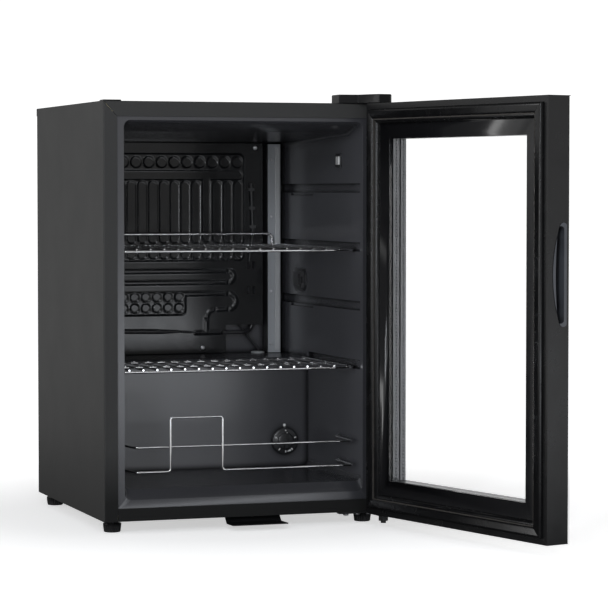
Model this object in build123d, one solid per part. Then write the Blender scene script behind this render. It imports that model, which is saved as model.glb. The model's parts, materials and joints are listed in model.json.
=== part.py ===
from build123d import *
import math
import os

# A compact glass-door drinks cooler, door open.
# Origin: centre of the four feet, on the floor. +X to the right seen from the front,
# +Y towards the back, +Z up. Millimetres.

# ------------------------------------------------------------------ cabinet
BODY_W = 430.0
BODY_D = 413.0
BODY_H = 610.0
FOOT_H = 18.0
SHEET = 0.8
BEND_R = 2.5
STILE_W = 20.5
TOP_RAIL_H = 22.0
LOW_RAIL_H = 18.9
REAR_FLANGE = 12.0
SEAM = 1.0

HALF = BODY_W / 2
FRONT = -BODY_D / 2
BACK = BODY_D / 2
BASE = FOOT_H
TOP = BASE + BODY_H

# ------------------------------------------------------------------ liner
LINER_T = 1.2
LINER_FRONT = FRONT + SHEET
MOUTH_HALF = 184.0
MOUTH_LOW = BASE + 31.0
MOUTH_HIGH = BASE + 582.5
MOUTH_R = 10.0
LIP_Y = FRONT + 7.0
LIP_HALF = 183.6
LIP_HIGH = BASE + 578.0
STEP_Y = FRONT + 50.0
STEP_HIGH = BASE + 567.5
ROOM_HALF = 180.5
ROOM_LOW = BASE + 46.0
ROOM_HIGH = BASE + 557.6
ROOM_BACK = FRONT + 377.0
HUMP_FRONT = FRONT + 243.0
HUMP_TOP = BASE + 218.0
HUMP_R = 6.0
GROOVE_HALF = 186.0
GROOVE_H = 13.9
GROOVE_PITCH = 88.2
GROOVE_TOP_FLOOR = BASE + 477.3
GROOVE_FRONT = FRONT + 10.0
FLANGE_HALF = 203.0

# ------------------------------------------------------------------ machine bay
BAY_FRONT = FRONT + 273.0
BAY_TOP = BASE + 190.0

# ------------------------------------------------------------------ feet
FOOT_X = 195.0
FOOT_Y = 174.5
FOOT_R = 12.5

# ------------------------------------------------------------------ door
DOOR_W = 430.0
DOOR_T = 39.0
DOOR_GAP = 7.0
DOOR_PLAY = 1.0
DOOR_OPEN_DEG = 104.05
FRAME_W = 30.6
BEZEL_W = 22.2
GASKET_EDGE = 9.8
GASKET_W = 20.8
GASKET_LIFT = 6.4
SEAT_DEPTH = 3.0
BEZEL_DROP = 1.4
PANE = 3.0
INNER_PANE_AT = 9.0
MIDDLE_PANE_AT = 23.3
OUTER_PANE_AT = 36.0
SPACER_W = 9.0
PIVOT_IN = 9.9
PIVOT_OUT = 24.4
PIN_R = 4.0
PIN_PLAY = 0.05

DOOR_IN = FRONT - DOOR_GAP
DOOR_LOW = BASE + DOOR_PLAY
DOOR_HIGH = TOP - DOOR_PLAY
PIVOT_X = HALF - PIVOT_IN
PIVOT_Y = DOOR_IN - PIVOT_OUT
WINDOW_IN = FRAME_W + BEZEL_W

# ------------------------------------------------------------------ shelves and guard
SHELF_HALF = 183.0
RUNNER_R = 2.0
WIRE_R = 1.3
SHELF_FRONT = FRONT + 30.0
UPPER_SHELF_BACK = FRONT + 345.0
LOWER_SHELF_BACK = FRONT + 234.0
UPPER_SHELF_Z = GROOVE_TOP_FLOOR - GROOVE_PITCH + RUNNER_R
LOWER_SHELF_Z = GROOVE_TOP_FLOOR - 3 * GROOVE_PITCH + RUNNER_R
GUARD_R = 1.6
GUARD_Y = FRONT + 18.0
GUARD_HIGH = BASE + 105.0
GUARD_LOW = BASE + 69.0
GUARD_LOOP_TOP = BASE + 148.0
GUARD_END_Y = FRONT + 98.0

# ------------------------------------------------------------------ evaporator
EVAP_Y = FRONT + 365.0
EVAP_T = 1.5
EVAP_RELIEF = 1.2
EVAP_LEFT = -168.0
EVAP_RIGHT = 147.0
EVAP_HIGH = BASE + 556.0
EVAP_LOW = BASE + 264.0
EVAP_TAB_RIGHT = 84.0
EVAP_TAB_LOW = BASE + 220.0
EVAP_SLOT_X = (122.7, 131.6)
EVAP_SLOT_Z = (360.0, 319.8)
EVAP_SLOT_LONG = 11.4
EVAP_SLOT_WIDE = 4.8
BEHIND_PLATE = EVAP_Y + 6.2
BULB_R = 2.4
BULB_OFF = 2.6
LEAD_R = 1.4

# ------------------------------------------------------------------ controls
DRAIN_X = 136.0
DRAIN_Y = FRONT + 358.0
KNOB_X = 142.5
KNOB_Z = BASE + 86.0
KNOB_R = 21.5
KNOB_T = 13.0
SHAFT_R = 3.0
SWITCH_Y = FRONT + 97.0
SWITCH_Z = BASE + 526.0
ROCKER_TILT = 8.0
ROCKER_AXIS_IN = 3.0

# ------------------------------------------------------------------ condenser
COIL_Y = BACK + 9.0
COIL_R = 2.4
COIL_HALF = 165.0
COIL_LOW = BASE + 215.0
COIL_PASSES = 11
COIL_PITCH = 34.0
COIL_WIRE_R = 0.8
COIL_WIRE_STEP = 17.0

DRIER_X = -120.0
DRIER_Y = BACK - 34.0
DRIER_Z = BASE + 96.0
COMPRESSOR_X = 30.0
COMPRESSOR_Y = FRONT + 343.0
MOUNT_X = 85.0
MOUNT_Y = 35.0
RAIL_T = 1.5
RAIL_LOW = BASE + SHEET
RAIL_TOP = RAIL_LOW + RAIL_T


# ================================================================== helpers
def block(x0, x1, y0, y1, z0, z1):
    """Box between two opposite corners."""
    centre = Pos((x0 + x1) / 2, (y0 + y1) / 2, (z0 + z1) / 2)
    return centre * Box(abs(x1 - x0), abs(y1 - y0), abs(z1 - z0))


def post(x, y, z0, z1, radius):
    """Upright cylinder."""
    return Pos(x, y, (z0 + z1) / 2) * Cylinder(radius, z1 - z0)


def peg(x, z, y0, y1, radius):
    """Cylinder that runs front to back."""
    return Pos(x, (y0 + y1) / 2, z) * Rot(90, 0, 0) * Cylinder(radius, abs(y1 - y0))


def axle(y, z, x0, x1, radius):
    """Cylinder that runs side to side."""
    return Pos((x0 + x1) / 2, y, z) * Rot(0, 90, 0) * Cylinder(radius, abs(x1 - x0))


def rod(points, radius, bend=0.0):
    """Round bar through the points, with bent corners."""
    path = FilletPolyline(*points, radius=bend) if bend else Polyline(*points)
    start = Plane(origin=path @ 0, z_dir=path % 0)
    return sweep(start * Circle(radius), path=path)


def prism_x(points, x0, x1):
    """Solid with a YZ outline, from x0 to x1."""
    plane = Plane(origin=(x0, 0, 0), x_dir=(0, 1, 0), z_dir=(1, 0, 0))
    return extrude(plane * make_face(Polyline(*points, close=True)), amount=x1 - x0)


def prism_y(points, y0, y1):
    """Solid with an XZ outline, from y0 (front) to y1 (back)."""
    plane = Plane(origin=(0, y1, 0), x_dir=(1, 0, 0), z_dir=(0, -1, 0))
    return extrude(plane * make_face(Polyline(*points, close=True)), amount=y1 - y0)


def prism_z(points, z0, z1):
    """Solid with an XY outline, from z0 to z1."""
    plane = Plane(origin=(0, 0, z0))
    return extrude(plane * make_face(Polyline(*points, close=True)), amount=z1 - z0)


def mirrored(solid):
    """The same piece on the other side of the cabinet."""
    return mirror(solid, about=Plane.YZ)


def door_pose(solid):
    """Turns a piece of the closed door to its open place."""
    pivot = Pos(PIVOT_X, PIVOT_Y, 0)
    back = Pos(-PIVOT_X, -PIVOT_Y, 0)
    return pivot * Rot(0, 0, DOOR_OPEN_DEG) * back * solid


def pan_screw(x, y, z, length, head_r=3.4, shank_r=1.6):
    """Pan-head screw whose head points to the front and sits on y."""
    head = peg(x, z, y - 2.2, y, head_r)
    head = fillet(head.edges().sort_by(Axis.Y)[0], 1.4)
    slot = block(x - 2.0, x + 2.0, y - 3.0, y - 1.4, z - 0.45, z + 0.45)
    cross = block(x - 0.45, x + 0.45, y - 3.0, y - 1.4, z - 2.0, z + 2.0)
    return head + peg(x, z, y - 0.5, y + length, shank_r) - slot - cross


# ================================================================== cabinet shell
def mitre_cut(gap):
    """Everything in the front flange above the left corner's mitre line."""
    inner_x = -HALF + STILE_W + 2.0
    slope = TOP_RAIL_H / STILE_W
    rise = slope * (STILE_W + 2.0)
    points = [
        (-HALF - 2.0, TOP + 2.0 * slope - gap),
        (-HALF - 2.0, TOP + 8.0),
        (inner_x, TOP + 8.0),
        (inner_x, TOP - rise - gap),
    ]
    return prism_y(points, FRONT - 1.0, FRONT + BEND_R)


def side_panel():
    outline = [
        (-HALF + REAR_FLANGE, BACK - SHEET),
        (-HALF, BACK - SHEET),
        (-HALF, FRONT),
        (-HALF + STILE_W, FRONT),
    ]
    skin = FilletPolyline(*outline, radius=BEND_R)
    strip = make_face(offset(skin, amount=SHEET, side=Side.LEFT))
    wall = extrude(Plane(origin=(0, 0, BASE)) * strip, amount=BODY_H - SHEET)
    hem = block(-HALF + 0.1, -HALF + REAR_FLANGE, FRONT + 32.0, BACK - 2.0, BASE, BASE + SHEET)
    relief = block(-HALF - 1.0, HALF, BACK - 4.0, BACK, TOP - 4.0, TOP)
    return wall + hem - mitre_cut(SEAM / 2) - relief


def top_panel():
    low_front = TOP - TOP_RAIL_H
    outline = [
        (FRONT, low_front),
        (FRONT, TOP),
        (BACK, TOP),
        (BACK, TOP - REAR_FLANGE),
    ]
    skin = FilletPolyline(*outline, radius=BEND_R)
    strip = make_face(offset(skin, amount=SHEET, side=Side.RIGHT))
    plane = Plane(origin=(-HALF, 0, 0), x_dir=(0, 1, 0), z_dir=(1, 0, 0))
    sheet = extrude(plane * strip, amount=BODY_W)
    for hole in hinge_screw_holes():
        sheet -= hole
    inner_x = -HALF + STILE_W
    slope = TOP_RAIL_H / STILE_W
    corner = [
        (-HALF - 1.0, TOP - SHEET - 0.05),
        (-HALF - 1.0, low_front - 8.0),
        (inner_x + 8.0 / slope, low_front - 8.0),
        (-HALF + SEAM / 2 + SHEET, TOP - SHEET - 0.05),
    ]
    cut = prism_y(corner, FRONT - 1.0, FRONT + 3.0)
    return sheet - cut - mirrored(cut)


def bottom_front_rail():
    end = HALF - STILE_W - 0.5
    face = block(-end, end, FRONT, FRONT + SHEET, BASE, BASE + LOW_RAIL_H)
    foot = block(-end, end, FRONT, FRONT + 30.0, BASE, BASE + SHEET)
    rail = face + foot
    for side in (-1, 1):
        rail += block(side * end, side * (HALF - SHEET), FRONT + 3.0, FRONT + 30.0, BASE, BASE + SHEET)
        rail -= foot_hole(side)
    rail = fillet(rail.edges().filter_by(Axis.X).group_by(Axis.Y)[0].sort_by(Axis.Z)[0], 0.7)
    for hole in hinge_screw_holes():
        rail -= hole
    return rail


def base_panel():
    """Sheet under the foam that turns up and back to roof the machine bay."""
    inner = HALF - SHEET
    floor = block(-inner, inner, FRONT + 30.2, BAY_FRONT, BASE, BASE + SHEET)
    wall = block(-inner, inner, BAY_FRONT - SHEET, BAY_FRONT, BASE, BAY_TOP + SHEET)
    roof = block(-inner, inner, BAY_FRONT - SHEET, BACK - 2 * SHEET, BAY_TOP, BAY_TOP + SHEET)
    hem = [block(s * (inner - REAR_FLANGE), s * HALF, FRONT + 30.0, BACK, BASE - 1.0, BASE + SHEET)
           for s in (-1, 1)]
    panel = floor + wall + roof - hem[0] - hem[1]
    for side in (-1, 1):
        panel -= block(side * (HALF - 4.0), side * HALF, BACK - 5.0, BACK, BASE, TOP)
        panel -= foot_hole(side)
    return panel - suction_path(4.6) - capillary_path(1.6) - drain_path(7.0)


def back_panel():
    sheet = block(-HALF + SHEET, HALF - SHEET, BACK - SHEET, BACK, BAY_TOP, TOP - SHEET - 0.2)
    return sheet - block(-HALF, HALF, BACK - 1.0, BACK + 1.0, TOP - REAR_FLANGE - 0.2, TOP)


# ================================================================== liner and foam
def ring(y, half, low, high, radius, grow):
    plane = Plane(origin=(0, y, (low + high) / 2), x_dir=(1, 0, 0), z_dir=(0, -1, 0))
    return plane * RectangleRounded(2 * (half + grow), high - low + 2 * grow, radius + grow)


def groove(level, grow):
    """One shelf groove in each side wall, with the stop pocket of every second one."""
    floor = GROOVE_TOP_FLOOR - level * GROOVE_PITCH
    end = HUMP_FRONT - 7.0 if level == 3 else ROOM_BACK
    reach = GROOVE_HALF + grow
    cut = block(ROOM_HALF - 4.0, reach, GROOVE_FRONT - grow, end + grow,
                floor - grow, floor + GROOVE_H + grow)
    if level in (0, 2):
        cut += block(ROOM_HALF - 4.0, reach - 3.0, FRONT + 215.0 - grow, FRONT + 322.0 + grow,
                     floor - 4.5 - grow, floor)
    return cut


def cavity(grow):
    """Space inside the liner; grown by the wall thickness it is the liner's outside."""
    mouth = ring(LINER_FRONT, MOUTH_HALF, MOUTH_LOW, MOUTH_HIGH, MOUTH_R, grow)
    lip = ring(LIP_Y, LIP_HALF, ROOM_LOW, LIP_HIGH, MOUTH_R, grow)
    step = ring(STEP_Y, ROOM_HALF, ROOM_LOW, STEP_HIGH, MOUTH_R, grow)
    rear = ring(ROOM_BACK + grow, ROOM_HALF, ROOM_LOW, ROOM_HIGH, MOUTH_R, grow)
    space = loft([mouth, lip], ruled=True) + loft([lip, step], ruled=True) + loft([step, rear], ruled=True)
    hump = block(-HALF, HALF, HUMP_FRONT + grow, BACK, BASE, HUMP_TOP - grow)
    nose = hump.edges().filter_by(Axis.X).group_by(Axis.Y)[0].sort_by(Axis.Z)[-1]
    space -= fillet(nose, HUMP_R - grow)
    corners = space.edges().filter_by(Axis.Z).filter_by(
        lambda e: abs(e.center().Y - HUMP_FRONT - grow) < 0.5)
    if grow == 0.0 and len(corners) == 2:
        space = fillet(corners, HUMP_R)
    for level in range(4):
        cut = groove(level, grow)
        space += cut
        space += mirrored(cut)
    return space


def guard_holes(radius, reach):
    holes = []
    for z in (GUARD_HIGH, GUARD_LOW):
        for side in (-1, 1):
            holes.append(axle(GUARD_END_Y, z, side * (ROOM_HALF - 4.0), side * reach, radius))
    return holes


def inner_liner(space):
    shell = cavity(LINER_T) - space
    flange = block(-FLANGE_HALF, FLANGE_HALF, LINER_FRONT, LINER_FRONT + LINER_T,
                   BASE + 10.0, MOUTH_HIGH + 12.0)
    liner = shell + (flange - space)
    for hole in guard_holes(GUARD_R + 0.2, ROOM_HALF + 4.0):
        liner -= hole
    liner -= peg(KNOB_X, KNOB_Z, HUMP_FRONT - 5.0, HUMP_FRONT + 9.0, 6.0)
    liner -= block(ROOM_HALF - 1.0, ROOM_HALF + 3.0, SWITCH_Y - 11.6, SWITCH_Y + 11.6,
                   SWITCH_Z - 8.1, SWITCH_Z + 8.1)
    liner -= suction_path(4.6)
    liner -= capillary_path(1.6)
    liner -= lead_path(LEAD_R + 0.8)
    liner -= drain_path(7.0)
    return liner


def foam_insulation():
    inner = HALF - SHEET
    body = block(-inner, inner, LINER_FRONT + LINER_T, BACK - 2 * SHEET, BASE + SHEET, TOP - SHEET)
    body -= block(-HALF, HALF, BAY_FRONT - SHEET, BACK, BASE, BAY_TOP + SHEET)
    body -= cavity(LINER_T)
    body -= block(-HALF, HALF, FRONT, FRONT + 31.0, BASE, BASE + SHEET + 0.2)
    body -= block(-HALF, HALF, FRONT, FRONT + 3.0, TOP - BEND_R - 1.0, TOP)
    for side in (-1, 1):
        body -= block(side * (HALF - BEND_R - 1.0), side * HALF, FRONT, FRONT + 3.5, BASE, TOP)
        body -= block(side * (HALF - 4.0), side * HALF, BACK - 5.0, BACK, BASE, TOP)
    body -= block(-HALF, HALF, BACK - 5.0, BACK, TOP - 4.0, TOP)
    for hole in guard_holes(GUARD_R + 0.6, ROOM_HALF + 6.0):
        body -= hole
    body -= block(KNOB_X - 23.0, KNOB_X + 23.0, HUMP_FRONT + LINER_T, BAY_FRONT - SHEET,
                  KNOB_Z - 22.0, KNOB_Z + 22.0)
    body -= block(ROOM_HALF + LINER_T, ROOM_HALF + 16.0, SWITCH_Y - 13.0, SWITCH_Y + 13.0,
                  SWITCH_Z - 10.0, SWITCH_Z + 10.0)
    for hole in hinge_screw_holes():
        body -= hole
    for side in (-1, 1):
        body -= foot_hole(side)
    body -= suction_path(4.6)
    body -= capillary_path(1.6)
    body -= lead_path(LEAD_R + 0.8)
    body -= drain_path(7.0)
    return body


# ================================================================== cooling circuit
def suction_points():
    """From the plate's outlet, up behind the plate, through the wall and down."""
    front = EVAP_Y - 4.4
    behind = BEHIND_PLATE
    x_exit = 134.0
    x_inlet = COMPRESSOR_X + 42.0
    y_down = BACK - 22.0
    return [
        (EVAP_TAB_RIGHT - 6.0, front, BASE + 252.0),
        (112.0, front, BASE + 252.0),
        (127.0, behind, BASE + 255.0),
        (x_exit, behind, BASE + 272.0),
        (x_exit, y_down, BASE + 276.0),
        (x_exit, y_down, BASE + 126.0),
        (x_inlet, y_down, BASE + 122.0),
        (x_inlet, COMPRESSOR_Y + 20.0, BASE + 112.0),
    ]


def suction_path(radius):
    return rod(suction_points(), radius, 6.0)


def suction_tube():
    return (suction_path(3.0) - compressor()).solids().sort_by(SortBy.VOLUME)[-1]


def capillary_points():
    """From the plate's joint to the left, round the plate's edge, through the wall to the drier."""
    front = EVAP_Y - 4.2
    edge = EVAP_LEFT - 6.0
    y_down = ROOM_BACK + 12.0
    return [
        (38.0, EVAP_Y - 2.3, BASE + 252.2),
        (28.0, EVAP_Y - 3.4, BASE + 253.2),
        (6.0, front, BASE + 254.4),
        (-150.0, front, BASE + 257.4),
        (edge, front, BASE + 257.4),
        (edge, y_down, BASE + 257.4),
        (edge, y_down, BASE + 130.0),
        (DRIER_X - 30.0, DRIER_Y, BASE + 123.0),
        (DRIER_X - 30.0, DRIER_Y, DRIER_Z + 20.1),
    ]


def capillary_path(radius):
    return rod(capillary_points(), radius, 3.0)


def capillary_tube():
    """Thin tube with a sleeve that narrows to a short binding of wire."""
    front = EVAP_Y - 4.2
    tube = capillary_path(1.0)
    tube += rod([(-150.0, front, BASE + 257.4), (-28.0, front, BASE + 255.1)], 3.9)
    tube += Pos(-11.0, front, BASE + 254.8) * Rot(0, 90, 0) * Cone(3.9, 2.0, 34.2)
    for k in range(6):
        along = 3.0 + 3.1 * k
        turn = Pos(6.0 + along, front + 0.036 * along, BASE + 254.4 - 0.055 * along)
        tube += turn * Rot(0, 90, 0) * Torus(1.5, 0.8)
    return tube


def evaporator_islands(relief_plane):
    """Flat bonded spots left between the inflated channels."""
    slot_pitch = 17.8
    dot_pitch = 21.1
    spots = Sketch()
    for k in range(12):
        spots += Pos(103.5 - k * dot_pitch, 525.8) * Circle(7.2)
    for k in range(14):
        x = 105.0 - k * slot_pitch
        spots += Pos(x, 378.6) * Circle(5.8)
        if k != 3:
            spots += Pos(x, 446.2) * SlotOverall(96.4, 11.5, rotation=90)
    spots += Pos(-13.5, 505.0) * SlotOverall(249.0, 11.5)
    spots += Pos(51.6, 452.5) * SlotOverall(106.0, 9.5, rotation=90)
    for k in range(9):
        for z in (292.6, 310.0):
            spots += Pos(5.5 - k * 18.4, z) * Circle(5.6)
    return relief_plane * spots


def evaporator_channels():
    """Outline of the inflated field: a large pad, two loops and a small pad."""
    field = Pos(-15.2, 453.5) * RectangleRounded(262.0, 174.2, 10.0)
    field += Pos(-65.0, 299.5) * RectangleRounded(165.8, 39.5, 9.0)
    width = 9.2
    for centre, radius in ((342.2, 9.2), (302.0, 12.7)):
        turn = Pos(88.8, centre) * (Circle(radius + width / 2) - Circle(radius - width / 2))
        field += turn & (Pos(108.8, centre) * Rectangle(40.0, 60.0))
        field += Pos(-31.6, centre + radius) * Rectangle(241.0, width)
    field += Pos(-31.6, 333.0) * Rectangle(241.0, width)
    field += Pos(78.0, 289.3) * Rectangle(22.0, width)
    bend = Pos(67.2, 273.3) * (Circle(20.6) - Circle(11.4))
    field += bend & (Pos(56.6, 283.9) * Rectangle(21.2, 21.2))
    field += Pos(51.2, 262.5) * Rectangle(width, 23.0)
    field += Pos(54.0, 252.0) * SlotOverall(50.0, 8.0)
    return field


def evaporator_plate():
    plane = Plane(origin=(0, EVAP_Y, BASE), x_dir=(1, 0, 0), z_dir=(0, -1, 0))
    high = EVAP_HIGH - BASE
    low = EVAP_LOW - BASE
    tab_low = EVAP_TAB_LOW - BASE
    outline = Polyline(
        (EVAP_LEFT, high), (EVAP_RIGHT, high), (EVAP_RIGHT, low), (EVAP_TAB_RIGHT, low),
        (EVAP_TAB_RIGHT, tab_low), (EVAP_LEFT, tab_low), close=True)
    sheet = extrude(plane * make_face(outline), amount=-EVAP_T)
    relief = plane * evaporator_channels() - evaporator_islands(plane)
    plate = sheet + extrude(relief, amount=EVAP_RELIEF)
    for x in EVAP_SLOT_X:
        for z in EVAP_SLOT_Z:
            slot = plane * (Pos(x, z) * SlotOverall(EVAP_SLOT_LONG, EVAP_SLOT_WIDE, rotation=90))
            plate -= extrude(slot, amount=-EVAP_T)
    for x, z in evaporator_fixings():
        plate -= peg(x, z, EVAP_Y - 5.0, EVAP_Y + 5.0, 2.1)
    return plate


def evaporator_fixings():
    high = EVAP_HIGH - 7.0
    low = EVAP_TAB_LOW + 8.0
    return [(134.0, high), (-162.0, high), (45.0, low), (-162.0, low)]


def evaporator_spacers():
    pieces = []
    for x, z in evaporator_fixings():
        sleeve = peg(x, z, EVAP_Y + EVAP_T, ROOM_BACK, 6.0)
        pieces.append(sleeve - peg(x, z, EVAP_Y, ROOM_BACK + 1.0, 2.1))
    return Compound(pieces)


def liner_screws():
    """Pan-head screws of the evaporator and of the lamp channel."""
    pieces = [pan_screw(x, EVAP_Y, z, ROOM_BACK - EVAP_Y - 0.4) for x, z in evaporator_fixings()]
    for z in lamp_fixings():
        pieces.append(pan_screw(LAMP_X - LAMP_SCREW_IN, LAMP_FRONT, z, 2.6, 2.2, 1.2))
    return Compound(pieces)


def bulb_x(z):
    """The bulb leans a little to the right on its way down."""
    return 126.2 + 3.0 * (BASE + 492.0 - z) / 80.0


def lead_points():
    """From the bulb through a slot of the plate, down behind it and forward to the thermostat."""
    front = EVAP_Y - BULB_OFF
    switch_y = HUMP_FRONT + 13.0
    x_down = KNOB_X + 9.5
    return [
        (bulb_x(BASE + 413.0), front, BASE + 413.0),
        (EVAP_SLOT_X[0], front, BASE + 366.0),
        (EVAP_SLOT_X[0], BEHIND_PLATE, BASE + 351.0),
        (105.5, BEHIND_PLATE, BASE + 268.0),
        (140.0, BEHIND_PLATE, BASE + 224.0),
        (x_down, BEHIND_PLATE, BASE + 206.0),
        (x_down, switch_y, BASE + 206.0),
        (x_down, switch_y, KNOB_Z + 18.1),
    ]


def lead_path(radius):
    return rod(lead_points(), radius, 5.0)


def thermostat_bulb():
    """Sensing tube held against the plate's right margin, with its thin lead."""
    y = EVAP_Y - BULB_OFF
    bulb = rod([(bulb_x(z), y, z) for z in (BASE + 492.0, BASE + 412.0)], BULB_R)
    return bulb + lead_path(LEAD_R)


def bulb_clips():
    """Three metal straps that press the bulb on the plate."""
    clips = []
    for z in (BASE + 482.0, BASE + 452.0, BASE + 422.0):
        x = bulb_x(z)
        crown = EVAP_Y - BULB_OFF - BULB_R
        band = block(x - 4.6, x + 4.6, crown - 0.8, EVAP_Y, z - 2.5, z + 2.5)
        clips.append(band - block(x - 2.8, x + 2.8, crown - 0.2, EVAP_Y, z - 3.0, z + 3.0))
    return Compound(clips)


# ================================================================== interior fittings
LAMP_X = 161.7
LAMP_HALF = 10.6
LAMP_SPLIT = 1.4
LAMP_SCREW_IN = 5.6
LAMP_FRONT = ROOM_BACK - 26.0
LAMP_LOW = HUMP_TOP + 1.0
LAMP_HIGH = BASE + 555.0


def lamp_fixings():
    return [BASE + z for z in (232.0, 318.0, 438.0, 530.0)]


def lamp_channel():
    """Pale channel up the back corner that holds the light strip."""
    base = block(LAMP_X - LAMP_HALF, LAMP_X + LAMP_HALF, LAMP_FRONT, ROOM_BACK, LAMP_LOW, LAMP_HIGH)
    base -= block(LAMP_X + LAMP_SPLIT, LAMP_X + LAMP_HALF - 1.2, LAMP_FRONT - 1.0, LAMP_FRONT + 3.0,
                  LAMP_LOW + 4.0, LAMP_HIGH - 4.0)
    for z in lamp_fixings():
        base -= peg(LAMP_X - LAMP_SCREW_IN, z, LAMP_FRONT - 1.0, LAMP_FRONT + 3.0, 1.3)
    return base


def lamp_cover():
    cover = block(LAMP_X + LAMP_SPLIT + 0.1, LAMP_X + LAMP_HALF - 1.3, LAMP_FRONT - 1.2, LAMP_FRONT + 2.9,
                  LAMP_LOW + 4.1, LAMP_HIGH - 4.1)
    return fillet(cover.edges().filter_by(Axis.Z).group_by(Axis.Y)[0], 1.0)


def sensor_housing():
    """Moulded holder on the right wall, with a lens bay and an open clip."""
    y0 = FRONT + 248.0
    y1 = FRONT + 304.0
    z0 = BASE + 322.0
    z1 = BASE + 356.0
    cut = 9.0
    face = ROOM_HALF
    outline = [(y0 + cut, z0), (y1 - cut, z0), (y1, z0 + cut), (y1, z1 - cut),
               (y1 - cut, z1), (y0 + cut, z1), (y0, z1 - cut), (y0, z0 + cut)]
    plate = prism_x(outline, face - 2.0, face)
    lens = block(face - 4.5, face, y0 + 26.0, y1 - 4.0, z0 + 7.0, z1 - 5.0)
    clip = block(face - 7.0, face, y0 + 5.0, y0 + 22.0, z0 + 4.0, z1 - 4.0)
    clip -= block(face - 8.0, face - 1.0, y0 + 9.0, y0 + 19.0, z0 + 8.0, z1 - 8.0)
    clip -= block(face - 8.0, face - 3.0, y0 + 3.0, y0 + 10.0, z0 + 12.0, z1 - 12.0)
    return plate + lens + clip


def switch_frame():
    """Bezel and case of the rocker switch in the right wall."""
    face = ROOM_HALF
    frame = block(face - 1.8, face, SWITCH_Y - 13.0, SWITCH_Y + 13.0, SWITCH_Z - 9.5, SWITCH_Z + 9.5)
    frame += block(face - 0.5, face + 13.0, SWITCH_Y - 11.5, SWITCH_Y + 11.5, SWITCH_Z - 8.0, SWITCH_Z + 8.0)
    return frame - block(face - 3.0, face + 9.0, SWITCH_Y - 9.5, SWITCH_Y + 9.5,
                         SWITCH_Z - 6.6, SWITCH_Z + 6.6)


def light_switch_rocker():
    """Rocker with a shallow V face, tipped about an upright axis."""
    outline = [(3.0, -6.0), (-5.8, -8.0), (-4.4, 0.0), (-5.8, 8.0), (3.0, 6.0)]
    rocker = Rot(0, 0, -ROCKER_TILT) * prism_z(outline, SWITCH_Z - 6.2, SWITCH_Z + 6.2)
    return Pos(ROOM_HALF + ROCKER_AXIS_IN, SWITCH_Y, 0) * rocker


def bottle_guard():
    """Two chrome wires across the bottom; the lower one rises in a square loop."""
    left = -163.0
    right = 174.0
    loop_left = -111.0
    loop_right = -31.0
    wall = ROOM_HALF + LINER_T
    upper = [(-wall, GUARD_END_Y, GUARD_HIGH), (-wall + 6.0, GUARD_END_Y, GUARD_HIGH),
             (left, GUARD_Y, GUARD_HIGH), (right, GUARD_Y, GUARD_HIGH),
             (wall - 6.0, GUARD_END_Y, GUARD_HIGH), (wall, GUARD_END_Y, GUARD_HIGH)]
    front = GUARD_Y - 2 * GUARD_R + 0.2
    lower = [(-wall, GUARD_END_Y, GUARD_LOW), (-wall + 6.0, GUARD_END_Y, GUARD_LOW),
             (left, front, GUARD_LOW), (loop_left, front, GUARD_LOW),
             (loop_left, front, GUARD_LOOP_TOP), (loop_right, front, GUARD_LOOP_TOP),
             (loop_right, front, GUARD_LOW), (right, front, GUARD_LOW),
             (wall - 6.0, GUARD_END_Y, GUARD_LOW), (wall, GUARD_END_Y, GUARD_LOW)]
    return rod(upper, GUARD_R, 4.0) + rod(lower, GUARD_R, 4.0)


def shelf(z, back, wire_half, wires, raised):
    """Chromed wire shelf: a bent frame, cross bars and long wires on top."""
    run = SHELF_HALF - RUNNER_R
    hoop = [(-run, back, z), (-run, SHELF_FRONT, z), (run, SHELF_FRONT, z), (run, back, z)]
    grid = rod(hoop, RUNNER_R, 8.0)
    grid += rod([(-run, back, z), (run, back, z)], RUNNER_R)
    middle = (SHELF_FRONT + back) / 2
    grid += rod([(-run, middle, z), (run, middle, z)], RUNNER_R)
    top = z + RUNNER_R + WIRE_R - 0.3
    for k in range(wires):
        x = -wire_half + k * 2 * wire_half / (wires - 1)
        grid += rod([(x, SHELF_FRONT - 3.0, top), (x, back + 1.0, top)], WIRE_R)
    if raised:
        rail = 155.0
        y = back - 3.7
        stop = [(-rail, y, z), (-rail, y, z + 20.0), (rail, y, z + 20.0), (rail, y, z)]
        grid += rod(stop, RUNNER_R, 7.0)
    return grid


def drain_path(radius):
    """Channel for the melt water, from the hump's top to the tray."""
    return post(DRAIN_X, DRAIN_Y, BAY_TOP - 12.0, HUMP_TOP + 4.0, radius)


def drain_funnel():
    x = DRAIN_X
    y = DRAIN_Y
    rim = post(x, y, HUMP_TOP, HUMP_TOP + 3.0, 11.0)
    pipe = post(x, y, HUMP_TOP - 6.0, HUMP_TOP + 3.0, 6.8)
    funnel = fillet((rim + pipe).edges().sort_by(Axis.Z)[-1], 1.2)
    return funnel - post(x, y, HUMP_TOP - 7.0, HUMP_TOP + 4.0, 5.0)


def drain_hose():
    """Hose from the funnel down and over to the tray on the compressor."""
    x = DRAIN_X
    y = DRAIN_Y
    return rod([(x, y, HUMP_TOP - 6.0), (x, y, BAY_TOP - 14.0), (x - 24.0, y - 4.0, BAY_TOP - 17.0),
                (x - 50.0, y - 4.0, BAY_TOP - 20.0)], 5.5, 8.0)


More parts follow.
